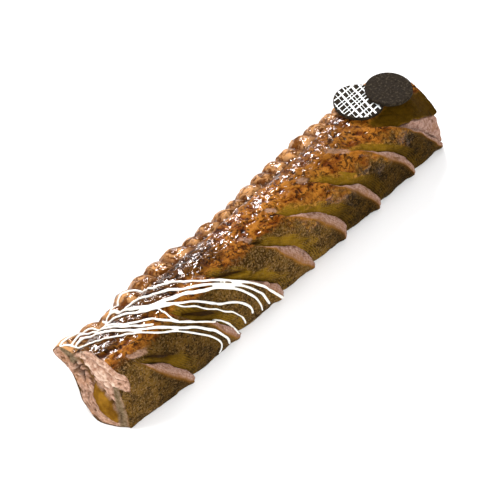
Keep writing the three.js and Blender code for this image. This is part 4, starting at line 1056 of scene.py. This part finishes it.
# white lines: two families of unequal low ribs, trimmed at the plaque's edge
ALONG = [(11.55, 1.1), (7.25, 0.7), (5.1, 0.8), (1.55, 0.7), (-0.6, 0.8), (-3.3, 1.2), (-8.0, 1.2), (-11.8, 1.3)]
ACROSS = [(-14.1, 0.7), (-9.4, 0.4), (-6.1, 1.8), (-2.25, 0.9), (-0.1, 0.4), (3.3, 1.8), (7.9, 1.4), (12.1, 0.9)]


def rib(off, w, turn, lift, seed, r):
    half = math.sqrt(max(0.5, r * r - off * off))
    n = max(8, int(half * 2 / 0.35))
    s = np.linspace(-half, half, n)
    m = 7
    a = np.linspace(-1, 1, m)
    wn = 0.76 * w / 2 * (1 + 0.16 * vnoise(np.stack([s / 1.4, s * 0 + seed, s * 0], -1), 71))
    on = off + 0.12 * vnoise(np.stack([s / 5, s * 0 + seed, s * 0], -1), 72)
    top = np.stack([np.broadcast_to(s[:, None], (n, m)), on[:, None] + wn[:, None] * a[None], lift + 0.16 * (1 - a[None] ** 4) + 0 * s[:, None]], -1)
    bot = top.copy(); bot[..., 2] = -0.12
    v = np.concatenate([top.reshape(-1, 3), bot.reshape(-1, 3)])
    rad = np.hypot(v[:, 0], v[:, 1])
    k_ = np.minimum(1, r / np.maximum(rad, 1e-6))
    v[:, 0] *= k_; v[:, 1] *= k_
    c, si = math.cos(turn), math.sin(turn)
    v = np.stack([v[:, 0] * c - v[:, 1] * si, v[:, 0] * si + v[:, 1] * c, v[:, 2]], -1)
    it = np.arange(n * m).reshape(n, m); ib = it + n * m
    qd = []
    A, B, C, D = it[:-1, :-1], it[1:, :-1], it[1:, 1:], it[:-1, 1:]
    qd.append(np.stack([A.ravel(), B.ravel(), C.ravel(), D.ravel()], -1))
    A, B, C, D = ib[:-1, :-1], ib[1:, :-1], ib[1:, 1:], ib[:-1, 1:]
    qd.append(np.stack([D.ravel(), C.ravel(), B.ravel(), A.ravel()], -1))
    lt = np.concatenate([it[0, :], it[1:, -1], it[-1, -2::-1], it[-2:0:-1, 0]])
    lb = lt + n * m
    qd.append(np.stack([np.roll(lt, -1), lt, lb, np.roll(lb, -1)], -1))
    return v, np.concatenate(qd)


lc = centre("lattice_chocolate_disc")
lo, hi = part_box("lattice_chocolate_disc")
top_z = hi[2] * 1000.0
vs, qs, off = [], [], 0
for i, (o, w) in enumerate(ALONG):
    v, qd = rib(o, w, -0.03, 0.02, i, 15.1)
    vs.append(v + [lc[0], lc[1], top_z]); qs.append(qd + off); off += len(v)
for i, (o, w) in enumerate(ACROSS):
    v, qd = rib(o, w, -1.95, 0.05, 20 + i, 15.1)
    vs.append(v + [lc[0], lc[1], top_z]); qs.append(qd + off); off += len(v)
lines_ob = mesh_object("lattice_lines", np.concatenate(vs), np.concatenate(qs))
lines_ob.data.materials.append(MAT_LINES)
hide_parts("white_lattice_lines")
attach(lines_ob, "root")

# ------------------------------------------------------------------ stage, lights, camera
bpy.ops.mesh.primitive_plane_add(size=6, location=(0, 0, -0.0002))
floor = bpy.context.object
floor.name = "floor"
F = Tree("pale_floor")
F.put(F.bsdf.inputs["Base Color"], F.mixc(F.noise(3, 2), (0.875, 0.880, 0.900), (0.885, 0.890, 0.910)))
F.bsdf.inputs["Roughness"].default_value = 0.85
F.bsdf.inputs["Specular IOR Level"].default_value = 0.1
floor.data.materials.append(F.mat)

PHI, ELEV, F_PX = math.radians(51.4), math.radians(46.0), 2033.0
R = Vector((math.cos(PHI), -math.sin(PHI), 0))
FW = Vector((math.sin(PHI), math.cos(PHI), 0))
D_ = math.cos(ELEV) * FW - math.sin(ELEV) * Vector((0, 0, 1))
U = math.sin(ELEV) * FW + math.cos(ELEV) * Vector((0, 0, 1))
cam_data = bpy.data.cameras.new("camera")
cam = bpy.data.objects.new("camera", cam_data)
bpy.context.scene.collection.objects.link(cam)
cam_data.sensor_width = 36.0
cam_data.sensor_fit = "HORIZONTAL"
cam_data.lens = F_PX * 36.0 / 500.0
cam_data.clip_start, cam_data.clip_end = 0.01, 20
P_CAM = Vector((-662.64 + SHIFT[0], -517.23 + SHIFT[1], 877.72)) * MM
rot = Matrix((R, U, -D_)).transposed().to_4x4()
cam.matrix_world = Matrix.Translation(P_CAM) @ rot
bpy.context.scene.camera = cam


def area(name, loc, target, size, power, color=(1, 1, 1)):
    d = bpy.data.lights.new(name, "AREA")
    d.shape = "DISK"
    d.size = size
    d.energy = power
    d.color = color
    o = bpy.data.objects.new(name, d)
    bpy.context.scene.collection.objects.link(o)
    o.location = loc
    o.rotation_euler = (Vector(target) - Vector(loc)).to_track_quat("-Z", "Y").to_euler()
    return o


world = bpy.data.worlds.new("studio")
bpy.context.scene.world = world
world.use_nodes = True
bg = world.node_tree.nodes["Background"]
bg.inputs[0].default_value = (1.0, 0.99, 0.97, 1)
bg.inputs[1].default_value = 0.42
area("key", (0.62, 0.84, 0.92), (0, 0, 0.03), 0.22, 14.0, (1.0, 0.93, 0.90))
top = area("top", (0.10, 0.34, 1.30), (0, 0, 0.02), 0.90, 4.0, (1.0, 0.985, 0.96))
front = area("soft_front", (-0.50, -0.80, 0.80), (0, 0, 0.02), 1.2, 17.0, (1.0, 0.99, 0.97))
front.visible_glossy = False
left = area("soft_left", (-R.x * 1.0 - 0.35, -R.y * 1.0 - 0.1, 0.55), (-0.05, 0, 0.02), 0.6, 9.5, (1.0, 0.98, 0.96))
# a softbox that is only seen in the glaze, while the broad fills are left out of it
shine = area("glaze_softbox", (0.56, 0.86, 0.80), (0, 0, 0.03), 0.27, 18.0, (1.0, 0.90, 0.93))
shine.visible_diffuse = False
top.visible_glossy = False
left.visible_glossy = False
world.cycles_visibility.glossy = False

sc_ = bpy.context.scene
sc_.view_settings.view_transform = "Standard"
sc_.view_settings.look = "None"
sc_.view_settings.exposure = 0.0
sc_.view_settings.gamma = 1.0
